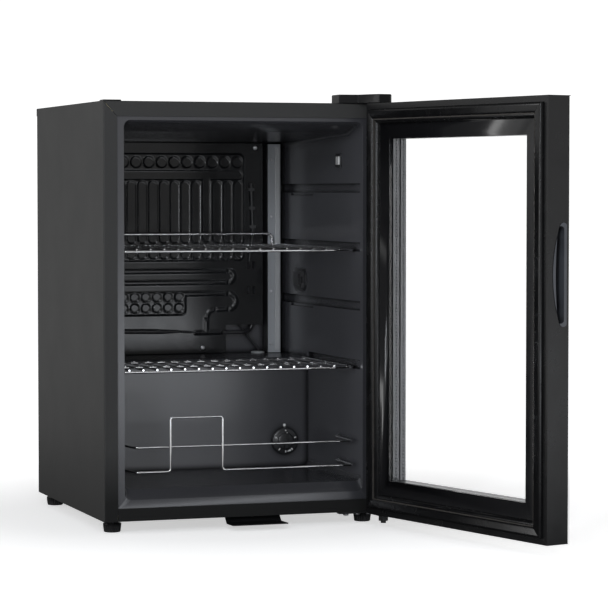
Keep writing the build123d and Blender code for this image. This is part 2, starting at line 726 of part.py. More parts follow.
# ================================================================== thermostat
def thermostat_knob():
    """Dial with a pointer grip, turned on its shaft."""
    y = HUMP_FRONT - 0.6
    disc = peg(KNOB_X, KNOB_Z, y - 6.0, y, KNOB_R)
    disc = chamfer(disc.edges().sort_by(Axis.Y)[0], 2.0)
    hub = peg(KNOB_X, KNOB_Z, y - 8.0, y - 5.0, 12.5)
    outline = [(KNOB_X - 4.0, KNOB_Z - 12.0), (KNOB_X + 4.0, KNOB_Z - 12.0),
               (KNOB_X + 2.6, KNOB_Z + 13.5), (KNOB_X - 2.6, KNOB_Z + 13.5)]
    grip = prism_y(outline, y - KNOB_T, y - 4.0)
    knob = disc + hub + grip
    return knob - peg(KNOB_X, KNOB_Z, y - 6.0, y + 1.0, SHAFT_R + PIN_PLAY)


def thermostat_body():
    y = HUMP_FRONT + LINER_T
    case = block(KNOB_X - 20.0, KNOB_X + 20.0, y + 2.0, y + 24.0, KNOB_Z - 18.0, KNOB_Z + 18.0)
    case = fillet(case.edges().filter_by(Axis.Y), 3.0)
    plate = block(KNOB_X - 16.0, KNOB_X + 16.0, y, y + 2.5, KNOB_Z - 12.0, KNOB_Z + 12.0)
    shaft = peg(KNOB_X, KNOB_Z, HUMP_FRONT - 6.0, y + 4.0, SHAFT_R)
    return case + plate + shaft


# ================================================================== machine bay
def compressor_rail():
    y0 = BAY_FRONT + 2.0
    y1 = BACK - 3.0
    half = HALF - REAR_FLANGE - 1.5
    pan = block(-half, half, y0, y1, RAIL_LOW, RAIL_TOP)
    pan += block(-half, half, y0, y0 + RAIL_T, RAIL_LOW, RAIL_TOP + 10.0)
    pan += block(-half, half, y1 - RAIL_T, y1, RAIL_LOW, RAIL_TOP + 10.0)
    for side in (-1, 1):
        pan += block(side * (half - 2.0), side * (HALF - SHEET), y0 + 4.0, y1 - 14.0,
                     RAIL_LOW, RAIL_TOP)
    for x, y in compressor_mounts():
        pan -= post(x, y, RAIL_LOW - 1.0, RAIL_TOP + 1.0, 3.3)
    return pan


def compressor_mounts():
    return [(COMPRESSOR_X + sx * MOUNT_X, COMPRESSOR_Y + sy * MOUNT_Y)
            for sx in (-1, 1) for sy in (-1, 1)]


def compressor():
    """Welded steel shell on a pressed foot plate."""
    low = RAIL_TOP + 14.0
    seam = low + 62.0
    lower = extrude(Plane(origin=(COMPRESSOR_X, COMPRESSOR_Y, low + 2.0)) * Ellipse(66.0, 50.0), amount=60.0)
    lower = fillet(lower.edges().group_by(Axis.Z)[0], 14.0)
    upper = extrude(Plane(origin=(COMPRESSOR_X, COMPRESSOR_Y, seam)) * Ellipse(66.0, 50.0), amount=66.0)
    upper = fillet(upper.edges().group_by(Axis.Z)[-1], 26.0)
    weld = extrude(Plane(origin=(COMPRESSOR_X, COMPRESSOR_Y, seam - 2.0)) * Ellipse(68.5, 52.5), amount=5.0)
    plate = block(COMPRESSOR_X - 100.0, COMPRESSOR_X + 100.0, COMPRESSOR_Y - 46.0, COMPRESSOR_Y + 46.0,
                  low, low + 3.0)
    plate = fillet(plate.edges().filter_by(Axis.Z), 12.0)
    for x, y in compressor_mounts():
        plate -= post(x, y, low - 1.0, low + 4.0, 8.0)
    return lower + upper + weld + plate


def compressor_grommets():
    pieces = []
    for x, y in compressor_mounts():
        low = RAIL_TOP
        body = post(x, y, low, low + 14.0, 12.0) + post(x, y, low + 13.0, low + 18.0, 7.9)
        body += post(x, y, low + 17.2, low + 20.0, 10.5)
        pieces.append(body - post(x, y, low - 1.0, low + 21.0, 3.6))
    return Compound(pieces)


def hex_prism(x, y, z0, z1, flats):
    corner_r = flats / math.sqrt(3.0)
    face = Plane(origin=(x, y, z0)) * RegularPolygon(corner_r, 6)
    return extrude(face, amount=z1 - z0)


def compressor_bolts():
    pieces = []
    for x, y in compressor_mounts():
        bolt = post(x, y, RAIL_LOW - 0.5, RAIL_TOP + 25.0, 3.0)
        bolt += hex_prism(x, y, RAIL_LOW - 4.5, RAIL_LOW - 0.01, 10.0)
        bolt += post(x, y, RAIL_TOP + 20.0, RAIL_TOP + 21.2, 8.0)
        bolt += hex_prism(x, y, RAIL_TOP + 21.2, RAIL_TOP + 25.5, 10.0)
        pieces.append(bolt)
    return Compound(pieces)


def relay_cover():
    x = COMPRESSOR_X - 66.5
    z = RAIL_TOP + 46.0
    box = block(x - 34.0, x, COMPRESSOR_Y - 24.0, COMPRESSOR_Y + 24.0, z, z + 52.0)
    return fillet(box.edges().filter_by(Axis.X), 5.0) - compressor()


def evaporation_tray():
    """Open tray on the compressor's dome where the melt water dries off."""
    z = RAIL_TOP + 142.4
    outer = block(COMPRESSOR_X - 58.0, COMPRESSOR_X + 62.0, COMPRESSOR_Y - 46.0, COMPRESSOR_Y + 46.0,
                  z, z + 20.0)
    outer = fillet(outer.edges().filter_by(Axis.Z), 12.0)
    inner = block(COMPRESSOR_X - 56.0, COMPRESSOR_X + 60.0, COMPRESSOR_Y - 44.0, COMPRESSOR_Y + 44.0,
                  z + 2.0, z + 21.0)
    return outer - fillet(inner.edges().filter_by(Axis.Z), 10.0)


def coil_z(k):
    return COIL_LOW + k * COIL_PITCH


def condenser_tube():
    """Serpentine on the back, fed at the top and emptied at the bottom."""
    points = [(-COIL_HALF, BACK - 30.0, BAY_TOP - 40.0), (-COIL_HALF, COIL_Y, BAY_TOP - 40.0)]
    side = -1
    for k in range(COIL_PASSES):
        points.append((side * COIL_HALF, COIL_Y, coil_z(k)))
        side = -side
        points.append((side * COIL_HALF, COIL_Y, coil_z(k)))
    edge = COIL_HALF + 18.0
    points[-1] = (side * edge, COIL_Y, coil_z(COIL_PASSES - 1))
    points.append((side * edge, COIL_Y, BAY_TOP - 40.0))
    points.append((side * edge, BACK - 30.0, BAY_TOP - 40.0))
    return rod(points, COIL_R, 8.0)


def condenser_wires():
    pieces = []
    low = coil_z(0) - 8.0
    high = coil_z(COIL_PASSES - 1) + 8.0
    shift = COIL_R + COIL_WIRE_R - 0.05
    count = int(2 * (COIL_HALF - 12.0) / COIL_WIRE_STEP)
    for k in range(count + 1):
        x = -count * COIL_WIRE_STEP / 2 + k * COIL_WIRE_STEP
        pieces.append(post(x, COIL_Y - shift, low, high, COIL_WIRE_R))
        pieces.append(post(x, COIL_Y + shift, low, high, COIL_WIRE_R))
    return Compound(pieces)


def condenser_brackets():
    """Four clips that hold the coil off the back panel."""
    pieces = []
    for side in (-1, 1):
        for k in (1, COIL_PASSES - 2):
            x = side * (COIL_HALF - 20.5)
            z = coil_z(k)
            leg = block(x - 5.0, x + 5.0, BACK, COIL_Y + COIL_R + 1.2, z - 5.0, z + 5.0)
            leg += block(x - 5.0, x + 5.0, BACK, BACK + 1.2, z - 14.0, z + 14.0)
            leg -= axle(COIL_Y, z, x - 6.0, x + 6.0, COIL_R + 0.02)
            pieces.append(leg)
    return Compound(pieces)


def filter_drier():
    x = DRIER_X
    y = DRIER_Y
    z = DRIER_Z
    body = post(x, y, z - 40.0, z + 40.0, 9.0)
    body = chamfer(body.edges(), 4.0)
    lead = rod([(x, y, z + 39.0), (x, y, BAY_TOP - 40.0), (-COIL_HALF + 0.0, y, BAY_TOP - 40.0),
                (-COIL_HALF, BACK - 30.5, BAY_TOP - 40.0)], 2.0, 3.0)
    coil = rod([(x, y, z - 39.0), (x, y, z - 56.0), (x - 30.0, y, z - 56.0),
                (x - 30.0, y, z + 20.0)], 1.1, 5.0)
    return body + lead + coil


def discharge_tube():
    x = COIL_HALF + 18.0
    points = [(COMPRESSOR_X + 58.0, COMPRESSOR_Y + 10.0, BASE + 60.0),
              (COMPRESSOR_X + 92.0, COMPRESSOR_Y + 10.0, BASE + 60.0),
              (COMPRESSOR_X + 92.0, BACK - 30.5, BASE + 60.0),
              (x, BACK - 30.5, BASE + 60.0),
              (x, BACK - 30.5, BAY_TOP - 40.0 - COIL_R)]
    return (rod(points, COIL_R, 7.0) - compressor()).solids().sort_by(SortBy.VOLUME)[-1]


def power_cord():
    """Mains lead with its moulded two-pin plug, hung in a loop inside the bay."""
    x = COMPRESSOR_X - 118.0
    y = BACK - 16.0
    plug_x = -196.0
    plug_z = BASE + 62.0
    points = [(COMPRESSOR_X - 100.5, COMPRESSOR_Y + 6.0, BASE + 70.0),
              (x, COMPRESSOR_Y + 6.0, BASE + 70.0),
              (x, y, BASE + 70.0), (x, y, BASE + 30.0), (-180.0, y, BASE + 30.0),
              (-180.0, y, BASE + 150.0), (plug_x, y, BASE + 150.0), (plug_x, y, plug_z - 2.0)]
    body = block(plug_x - 6.5, plug_x + 6.5, y - 11.0, y + 11.0, plug_z - 34.0, plug_z)
    cord = rod(points, 3.2, 7.5) + fillet(body.edges().filter_by(Axis.Z), 5.0)
    for side in (-7.0, 7.0):
        cord += post(plug_x, y + side, plug_z - 53.0, plug_z - 33.0, 2.4)
    return cord


# ================================================================== hinges
def bracket_arm(z0, z1, strip_back):
    """Plate with an arm that reaches out over the door's edge to the pin."""
    outline = [(148.0, FRONT + 2.5), (PIVOT_X - 14.0, FRONT + 2.5), (PIVOT_X - 9.0, PIVOT_Y - 6.0),
               (PIVOT_X - 5.0, PIVOT_Y - 9.0), (PIVOT_X + 3.5, PIVOT_Y - 9.0),
               (PIVOT_X + 6.5, PIVOT_Y - 6.0), (PIVOT_X + 6.5, strip_back), (148.0, strip_back)]
    plate = prism_z(outline, z0, z1)
    return plate - post(PIVOT_X, PIVOT_Y, z0 - 1.0, z1 + 1.0, PIN_R)


def hinge_screw_spots(front):
    return [(160.0, front), (178.0, front), (196.0, front)]


def hinge_screw_holes():
    """Clearance holes through the sheets and into the foam."""
    holes = [post(x, y, TOP - 9.0, TOP + 1.0, 2.0) for x, y in hinge_screw_spots(FRONT + 14.0)]
    holes += [post(x, y, BASE - 1.0, BASE + 9.0, 2.0) for x, y in hinge_screw_spots(FRONT + 8.0)]
    return holes


def top_hinge_bracket():
    plate = bracket_arm(TOP, TOP + 3.0, FRONT + 24.0)
    for x, y in hinge_screw_spots(FRONT + 14.0):
        plate -= post(x, y, TOP - 1.0, TOP + 4.0, 2.2)
    return plate


def bottom_hinge_bracket():
    plate = bracket_arm(BASE - 3.0, BASE, FRONT + 15.0)
    for x, y in hinge_screw_spots(FRONT + 8.0):
        plate -= post(x, y, BASE - 4.0, BASE + 1.0, 2.2)
    return plate


def hinge_pins():
    upper = post(PIVOT_X, PIVOT_Y, DOOR_HIGH - 11.0, TOP + 3.0, PIN_R)
    upper += post(PIVOT_X, PIVOT_Y, TOP + 3.0, TOP + 5.0, 6.5)
    lower = post(PIVOT_X, PIVOT_Y, BASE - 14.0, DOOR_LOW + 11.0, PIN_R)
    lower += hex_prism(PIVOT_X, PIVOT_Y, BASE - 10.5, BASE - 3.0, 13.0)
    return Compound([upper, lower])


def hinge_screws():
    pieces = []
    for x, y in hinge_screw_spots(FRONT + 14.0):
        screw = post(x, y, TOP - 7.0, TOP + 3.2, 1.9)
        head = post(x, y, TOP + 3.0, TOP + 5.8, 4.2)
        pieces.append(screw + fillet(head.edges().sort_by(Axis.Z)[-1], 1.6))
    for x, y in hinge_screw_spots(FRONT + 8.0):
        screw = post(x, y, BASE - 3.2, BASE + 7.0, 1.9)
        head = post(x, y, BASE - 5.8, BASE - 3.0, 4.2)
        pieces.append(screw + fillet(head.edges().sort_by(Axis.Z)[0], 1.6))
    return Compound(pieces)


def hinge_cover():
    """Thin shell over the top bracket."""
    height = 12.8
    right = HALF - 1.0

    def shape(inset, high):
        left = 145.0 + inset
        knee = 186.0 + inset
        front = PIVOT_Y - 12.5 + inset
        outline = [(left, FRONT + 30.0 - inset), (left, FRONT - 2.0 + inset),
                   (knee - 12.0, FRONT - 6.0 + inset), (knee, front + 9.0), (knee + 7.0, front),
                   (right - 4.0 - inset, front), (right - inset, front + 4.0),
                   (right - inset, FRONT + 30.0 - inset)]
        return prism_z(outline, TOP + 0.3 if inset == 0 else TOP - 1.0, high)

    shell = shape(0.0, TOP + height)
    shell = fillet(shell.edges().group_by(Axis.Z)[-1], 1.6)
    return shell - shape(1.8, TOP + height - 1.8)


def blanking_cap():
    cap = block(-HALF + 1.0, -HALF + 28.0, FRONT + 1.5, FRONT + 26.0, TOP, TOP + 1.7)
    cap = fillet(cap.edges().filter_by(Axis.Z), 3.0)
    return chamfer(cap.edges().group_by(Axis.Z)[-1], 0.6)


def underside_scoop():
    """Short curved lip under the middle of the front rail."""
    x0 = -28.0
    x1 = 57.0
    t = 1.6
    y0 = FRONT + 14.0
    bottom = BASE - 9.6
    path = FilletPolyline((y0 + 12.0, BASE - t / 2), (y0, BASE - t / 2), (y0 - 9.0, bottom),
                          (y0 - 41.0, bottom + 0.6), radius=5.0)
    strip = make_face(offset(path, amount=t / 2, side=Side.BOTH))
    plane = Plane(origin=(x0, 0, 0), x_dir=(0, 1, 0), z_dir=(1, 0, 0))
    return extrude(plane * strip, amount=x1 - x0)


# ================================================================== feet
def foot_hole(side):
    return post(side * FOOT_X, -FOOT_Y, BASE - 2.0, BASE + 24.0, 4.2)


def foot_pad(x, y, low):
    """Round foot: straight at the floor, slightly wider above."""
    pad = post(x, y, low, low + 9.0, FOOT_R)
    cone = Pos(x, y, low + 11.0) * Cone(FOOT_R, FOOT_R + 1.0, 4.0)
    return pad + cone


def front_foot(x):
    y = -FOOT_Y
    pad = foot_pad(x, y, 0.0)
    thread = post(x, y, 12.0, FOOT_H + 20.0, 4.0)
    return pad + thread


def rear_feet():
    pieces = []
    for x in (-FOOT_X, FOOT_X):
        pad = foot_pad(x, FOOT_Y, 0.0)
        pad += post(x, FOOT_Y, 12.0, BASE - 0.01, FOOT_R - 2.0)
        pieces.append(pad)
    return Compound(pieces)


# ================================================================== door
def frame_bar(width, y0, y1, inset_low=0.0):
    """Four mitred bars around the closed door, as (left, right, bottom, top)."""
    x0, x1 = -DOOR_W / 2 + inset_low, DOOR_W / 2 - inset_low
    z0, z1 = DOOR_LOW + inset_low, DOOR_HIGH - inset_low
    w = width
    left = prism_y([(x0, z0), (x0 + w, z0 + w), (x0 + w, z1 - w), (x0, z1)], y0, y1)
    right = prism_y([(x1, z0), (x1, z1), (x1 - w, z1 - w), (x1 - w, z0 + w)], y0, y1)
    bottom = prism_y([(x0, z0), (x1, z0), (x1 - w, z0 + w), (x0 + w, z0 + w)], y0, y1)
    top = prism_y([(x0, z1), (x0 + w, z1 - w), (x1 - w, z1 - w), (x1, z1)], y0, y1)
    return [left, right, bottom, top]


def door_bars():
    """Extruded frame: a rim, a lower seat for the gasket and one long chamber."""
    seat_y = DOOR_IN - SEAT_DEPTH
    back_y = DOOR_IN - OUTER_PANE_AT
    step_y = DOOR_IN - INNER_PANE_AT
    bars = frame_bar(FRAME_W + 6.0, back_y, step_y)
    seats = frame_bar(FRAME_W, step_y - 0.1, seat_y)
    rims = frame_bar(GASKET_EDGE - 0.6, seat_y - 0.1, DOOR_IN)
    ring_cut = block(-DOOR_W / 2 + GASKET_EDGE + 6.0, DOOR_W / 2 - GASKET_EDGE - 6.0, seat_y - 5.0,
                     seat_y + 1.0, DOOR_LOW + GASKET_EDGE + 6.0, DOOR_HIGH - GASKET_EDGE - 6.0)
    ring_keep = block(-DOOR_W / 2 + GASKET_EDGE + 10.0, DOOR_W / 2 - GASKET_EDGE - 10.0, seat_y - 6.0,
                      seat_y + 2.0, DOOR_LOW + GASKET_EDGE + 10.0, DOOR_HIGH - GASKET_EDGE - 10.0)
    gasket_slot = ring_cut - ring_keep
    chamber_edge = 3.0
    chambers = frame_bar(FRAME_W - 8.0, back_y + 3.0, seat_y - 8.0, chamber_edge)
    pane_edge = WINDOW_IN - SPACER_W - 3.0
    pocket = block(-DOOR_W / 2 + pane_edge, DOOR_W / 2 - pane_edge, back_y - 1.0, DOOR_IN - INNER_PANE_AT,
                   DOOR_LOW + pane_edge, DOOR_HIGH - pane_edge)
    made = []
    for bar, seat, rim, chamber in zip(bars, seats, rims, chambers):
        made.append(bar + seat + rim - chamber - gasket_slot - pocket)
    return made


def bush_seat(low_end):
    z = DOOR_LOW if low_end else DOOR_HIGH
    depth = 14.0 if low_end else -14.0
    return block(PIVOT_X - 7.0, PIVOT_X + 7.0, PIVOT_Y - 7.0, PIVOT_Y + 7.0, z, z + depth)


def bush_holder(low_end):
    """Solid filling of the hinge stile's end around a bush."""
    z = DOOR_LOW if low_end else DOOR_HIGH
    depth = 20.0 if low_end else -20.0
    return block(PIVOT_X - 9.0, DOOR_W / 2 - 0.5, PIVOT_Y - 9.0, PIVOT_Y + 9.0, z, z + depth)


def hinge_bushes():
    """Flanged plastic bushes in the top and bottom of the hinge stile."""
    pieces = []
    for low_end in (True, False):
        sign = 1 if low_end else -1
        z = DOOR_LOW if low_end else DOOR_HIGH
        sleeve = block(PIVOT_X - 7.0, PIVOT_X + 7.0, PIVOT_Y - 7.0, PIVOT_Y + 7.0, z, z + sign * 14.0)
        flange_z = sorted((z, z - sign * 0.9))
        flange = post(PIVOT_X, PIVOT_Y, flange_z[0], flange_z[1], 8.5)
        bore_z = sorted((z - sign * 2.0, z + sign * 12.0))
        pieces.append(sleeve + flange - post(PIVOT_X, PIVOT_Y, bore_z[0], bore_z[1], PIN_R + PIN_PLAY))
    return Compound(pieces)


def handle_outline(inset):
    """D shape: straight towards the door's front, bowed towards the back."""
    straight = DOOR_IN - 31.9 + inset
    bowed = DOOR_IN - 8.2 - inset
    low = BASE + 296.5 + inset
    high = BASE + 437.3 - inset
    side = Line((straight, low + 3.0), (straight, high - 3.0))
    top_end = ThreePointArc((straight, high - 3.0), (straight + 5.0, high), (straight + 11.0, high - 2.5))
    bow = ThreePointArc((straight + 11.0, high - 2.5), (bowed, (low + high) / 2),
                        (straight + 11.0, low + 2.5))
    low_end = ThreePointArc((straight + 11.0, low + 2.5), (straight + 5.0, low), (straight, low + 3.0))
    return make_face([side, top_end, bow, low_end])


def handle_solid(inset, x0, x1):
    plane = Plane(origin=(x0, 0, 0), x_dir=(0, 1, 0), z_dir=(1, 0, 0))
    return extrude(plane * handle_outline(inset), amount=x1 - x0)


def handle_insert():
    """Moulded finger pull set into the free edge of the door."""
    edge = -DOOR_W / 2
    rim = handle_solid(0.0, edge - 0.8, edge + 1.0)
    cup = handle_solid(1.2, edge, edge + 20.0)
    hollow = handle_solid(4.6, edge - 2.0, edge + 18.0)
    return rim + cup - hollow


def door_parts():
    handle_bar, hinge_bar, low_bar, top_bar = door_bars()
    edge = -DOOR_W / 2
    handle_bar -= handle_solid(0.0, edge - 3.0, edge + 1.0)
    handle_bar -= handle_solid(1.2, edge - 3.0, edge + 20.0)
    for low_end in (True, False):
        holder = bush_holder(low_end) & block(PIVOT_X - 9.0, DOOR_W / 2, PIVOT_Y - 9.0, PIVOT_Y + 9.0,
                                              DOOR_LOW, DOOR_HIGH)
        hinge_bar += holder
        hinge_bar -= bush_seat(low_end)
        rail = low_bar if low_end else top_bar
        rail -= holder
        if low_end:
            low_bar = rail
        else:
            top_bar = rail
    return handle_bar, hinge_bar, Compound([low_bar.solid(), top_bar.solid()])


def rect_ring(edge, width, y0, y1):
    outer = block(-DOOR_W / 2 + edge, DOOR_W / 2 - edge, y0, y1, DOOR_LOW + edge, DOOR_HIGH - edge)
    inner_edge = edge + width
    return outer - block(-DOOR_W / 2 + inner_edge, DOOR_W / 2 - inner_edge, y0 - 1.0, y1 + 1.0,
                         DOOR_LOW + inner_edge, DOOR_HIGH - inner_edge)


def gasket():
    """Magnetic seal: a soft hollow cushion on a barbed foot."""
    seat_y = DOOR_IN - SEAT_DEPTH
    cushion = rect_ring(GASKET_EDGE, GASKET_W, seat_y, DOOR_IN + GASKET_LIFT)
    chamber = rect_ring(GASKET_EDGE + 2.0, GASKET_W - 4.0, seat_y + 1.5, DOOR_IN + GASKET_LIFT - 1.5)
    foot = rect_ring(GASKET_EDGE + 6.3, 3.4, seat_y - 4.6, seat_y + 0.5)
    return cushion - chamber + foot


def magnet_strips():
    """Flexible magnets that lie in the gasket, one along each side."""
    strips = []
    y0 = DOOR_IN + GASKET_LIFT - 4.5
    y1 = DOOR_IN + GASKET_LIFT - 1.6
    w = 10.0
    x = DOOR_W / 2 - GASKET_EDGE - 5.0
    z0 = DOOR_LOW + GASKET_EDGE + 5.0
    z1 = DOOR_HIGH - GASKET_EDGE - 5.0
    strips.append(block(-x, -x + w, y0, y1, z0, z1))
    strips.append(block(x - w, x, y0, y1, z0, z1))
    strips.append(block(-x + w + 0.5, x - w - 0.5, y0, y1, z0, z0 + w))
    strips.append(block(-x + w + 0.5, x - w - 0.5, y0, y1, z1 - w, z1))
    return Compound(strips)


def glazing_beads():
    """Sloped mitred beads that hold the glass unit from the inside."""
    seat_y = DOOR_IN - SEAT_DEPTH
    e = FRAME_W + 0.05
    w = BEZEL_W
    floor_y = DOOR_IN - INNER_PANE_AT
    pieces = []
    for bar in frame_bar(w, floor_y, seat_y, e):
        pieces.append(bar)
    slope = math.degrees(math.atan2(BEZEL_DROP, w))
    x = DOOR_W / 2 - e
    z0 = DOOR_LOW + e
    z1 = DOOR_HIGH - e
    cuts = [
        prism_z([(-x, seat_y), (-x + w + 1, seat_y - BEZEL_DROP),
                 (-x + w + 1, seat_y + 5), (-x, seat_y + 5)], z0, z1),
        prism_z([(x, seat_y), (x, seat_y + 5),
                 (x - w - 1, seat_y + 5), (x - w - 1, seat_y - BEZEL_DROP)], z0, z1),
        prism_x([(seat_y, z0), (seat_y + 5, z0),
                 (seat_y + 5, z0 + w + 1), (seat_y - BEZEL_DROP, z0 + w + 1)], -x, x),
        prism_x([(seat_y, z1), (seat_y - BEZEL_DROP, z1 - w - 1),
                 (seat_y + 5, z1 - w - 1), (seat_y + 5, z1)], -x, x),
    ]
    return Compound([(p - c).solid() for p, c in zip(pieces, cuts)])


def pane(edge, at):
    return block(-DOOR_W / 2 + edge, DOOR_W / 2 - edge, DOOR_IN - at - PANE, DOOR_IN - at,
                 DOOR_LOW + edge, DOOR_HIGH - edge)


def inner_panes():
    edge = WINDOW_IN - SPACER_W - 2.8
    return Compound([pane(edge, INNER_PANE_AT + 0.02), pane(edge, MIDDLE_PANE_AT)])


def outer_glass():
    glass = pane(0.0, OUTER_PANE_AT)
    return chamfer(glass.edges().group_by(Axis.Y)[0], 0.6)


def glass_spacers():
    """Aluminium box-section spacers between the panes."""
    edge = WINDOW_IN - SPACER_W
    deep_gap = rect_ring(edge, SPACER_W, DOOR_IN - MIDDLE_PANE_AT, DOOR_IN - INNER_PANE_AT - PANE - 0.02)
    outer_gap = rect_ring(edge, SPACER_W, DOOR_IN - OUTER_PANE_AT, DOOR_IN - MIDDLE_PANE_AT - PANE)
    return Compound([deep_gap.solid(), outer_gap.solid()])


# ================================================================== write the pieces
def cabinet_pieces():
    space = cavity(0.0)
    left = side_panel()
    return {
        "side_panel_left": left,
        "side_panel_right": mirrored(left),
        "top_panel": top_panel(),
        "bottom_front_rail": bottom_front_rail(),
        "base_panel": base_panel(),
        "back_panel": back_panel(),
        "foam_insulation": foam_insulation(),
        "inner_liner": inner_liner(space),
        "evaporator_plate": evaporator_plate(),
        "evaporator_spacers": evaporator_spacers(),
        "liner_screws": liner_screws(),
        "suction_tube": suction_tube(),
        "capillary_tube": capillary_tube(),
        "thermostat_bulb": thermostat_bulb(),
        "bulb_clips": bulb_clips(),
        "thermostat_body": thermostat_body(),
        "thermostat_knob": thermostat_knob(),
        "lamp_channel": lamp_channel(),
        "lamp_cover": lamp_cover(),
        "sensor_housing": sensor_housing(),
        "switch_frame": switch_frame(),
        "light_switch_rocker": light_switch_rocker(),
        "bottle_guard": bottle_guard(),
        "upper_shelf": shelf(UPPER_SHELF_Z, UPPER_SHELF_BACK, 158.0, 16, True),
        "lower_shelf": shelf(LOWER_SHELF_Z, LOWER_SHELF_BACK, 169.5, 17, False),
        "drain_funnel": drain_funnel(),
        "drain_hose": drain_hose(),
        "compressor_rail": compressor_rail(),
        "compressor": compressor(),
        "compressor_grommets": compressor_grommets(),
        "compressor_bolts": compressor_bolts(),
        "relay_cover": relay_cover(),
        "evaporation_tray": evaporation_tray(),
        "condenser_tube": condenser_tube(),
        "condenser_wires": condenser_wires(),
        "condenser_brackets": condenser_brackets(),
        "filter_drier": filter_drier(),
        "discharge_tube": discharge_tube(),
        "power_cord": power_cord(),
        "top_hinge_bracket": top_hinge_bracket(),
        "bottom_hinge_bracket": bottom_hinge_bracket(),
        "hinge_pins": hinge_pins(),
        "hinge_screws": hinge_screws(),
        "hinge_cover": hinge_cover(),
        "blanking_cap": blanking_cap(),
        "underside_scoop": underside_scoop(),
        "front_left_foot": front_foot(-FOOT_X),
        "front_right_foot": front_foot(FOOT_X),
        "rear_feet": rear_feet(),
    }


def door_pieces():
    handle_bar, hinge_bar, rails = door_parts()
    return {
        "door_handle_stile": handle_bar,
        "door_hinge_stile": hinge_bar,
        "door_rails": rails,
        "hinge_bushes": hinge_bushes(),
        "handle_insert": handle_insert(),
        "gasket": gasket(),
        "magnet_strips": magnet_strips(),
        "glazing_beads": glazing_beads(),
        "inner_panes": inner_panes(),
        "outer_glass": outer_glass(),
        "glass_spacers": glass_spacers(),
    }


def main():
    os.makedirs("parts", exist_ok=True)
    for name, solid in cabinet_pieces().items():
        export_step(solid, f"parts/{name}.step")
    for name, solid in door_pieces().items():
        export_step(door_pose(solid), f"parts/{name}.step")


main()
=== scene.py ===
import json
import math

import bmesh
import bpy
import numpy as np
from mathutils import Matrix, Vector


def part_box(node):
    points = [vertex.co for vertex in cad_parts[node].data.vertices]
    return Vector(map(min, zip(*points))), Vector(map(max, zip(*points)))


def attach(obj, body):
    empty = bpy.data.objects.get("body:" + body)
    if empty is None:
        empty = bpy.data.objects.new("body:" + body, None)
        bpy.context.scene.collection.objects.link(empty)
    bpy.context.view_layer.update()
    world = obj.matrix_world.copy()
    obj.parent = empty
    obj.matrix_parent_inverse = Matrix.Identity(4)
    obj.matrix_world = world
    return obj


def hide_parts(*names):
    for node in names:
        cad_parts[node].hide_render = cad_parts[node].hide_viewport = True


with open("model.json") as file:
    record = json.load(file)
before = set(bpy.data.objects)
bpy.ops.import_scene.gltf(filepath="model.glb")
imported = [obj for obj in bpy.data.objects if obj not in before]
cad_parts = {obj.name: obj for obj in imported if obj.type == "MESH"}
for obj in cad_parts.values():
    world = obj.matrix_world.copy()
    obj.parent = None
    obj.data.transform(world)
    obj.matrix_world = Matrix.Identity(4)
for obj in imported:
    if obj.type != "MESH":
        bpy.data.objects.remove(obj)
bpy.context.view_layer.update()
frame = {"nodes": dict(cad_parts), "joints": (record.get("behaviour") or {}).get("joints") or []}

MM = 0.001
NODES = frame["nodes"]

# ------------------------------------------------------------------ places taken from the frame
LEFT_LOW, LEFT_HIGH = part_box("side_panel_left")
GLASS_LOW, GLASS_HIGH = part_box("outer_glass")
PLATE_LOW, PLATE_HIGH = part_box("evaporator_plate")
KNOB_LOW, KNOB_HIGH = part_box("thermostat_knob")
HALF = -LEFT_LOW.x
FRONT = LEFT_LOW.y
HINGE = next(j for j in frame["joints"] if j["name"] == "door_hinge")
PIVOT = Vector(HINGE["pos_m"])
DOOR_OPEN = math.radians(-HINGE["range_deg"][0])

# ------------------------------------------------------------------ sizes of the closed door
DOOR_GAP = 7.0 * MM
DOOR_IN = FRONT - DOOR_GAP
GASKET_EDGE = 9.8 * MM
GASKET_W = 20.8 * MM
SEAT_DEPTH = 3.0 * MM
PRINT_W = 52.6 * MM
OUTER_PANE_AT = 36.0 * MM
SPACER_EDGE = 43.8 * MM
SPACER_FACE = 52.8 * MM

# ------------------------------------------------------------------ sizes of the smaller pieces
FOOT_R = 13.5 * MM
FOOT_PAIR_W = 0.1                   # a foot node wider than this holds two feet
PRINT_T = 0.12 * MM                 # half the thickness of a printed mark
HOLE_R = 1.15 * MM                  # holes along the glass unit's spacers
HOLE_DEPTH = 2.0 * MM
HOLE_PITCH = 5.0 * MM

# ------------------------------------------------------------------ studio
CAMERA_AT = (-1.1783, -3.8593, 0.4994)
CAMERA_DOWN, CAMERA_TURN = 2.4997, -19.1603     # degrees
LENS, SENSOR = 154.714, 36.0
COOL = (0.90, 0.94, 1.0)
WHITE = (1.0, 1.0, 1.0, 1.0)
FLOOR_REACH = 4.0                   # metres from the middle where the floor's ramps end

# ------------------------------------------------------------------ the cooling plate, in mm
PLATE_LIFT = 1.15                   # height of the inflated channels
PLATE_SHOULDER = 3.4                # width over which a channel rises
PLATE_STEP = 1.15                   # grid of the relief
SHEET_T = 1.5
NOTCH_X, NOTCH_Z = 84.0, 264.0      # lower right corner that is cut away
CHANNEL_W = 9.2
SLOT_X = (122.7, 131.6)
SLOT_Z = (360.0, 319.8)
SLOT_W = 4.8
SLOT_H = 11.4


# ================================================================== mesh helpers
def new_piece(name, mesh, body, material, smooth_deg=None):
    """Puts a finished mesh in the scene, riding on a CAD body."""
    obj = bpy.data.objects.new(name, mesh)
    bpy.context.scene.collection.objects.link(obj)
    obj.data.materials.append(material)
    if smooth_deg is not None:
        shade_smooth(obj.data, smooth_deg)
    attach(obj, body)
    return obj


def shade_smooth(mesh, angle_deg):
    """Smooth faces, with the edges sharper than the angle kept crisp."""
    for face in mesh.polygons:
        face.use_smooth = True
    mesh.set_sharp_from_angle(angle=math.radians(angle_deg))


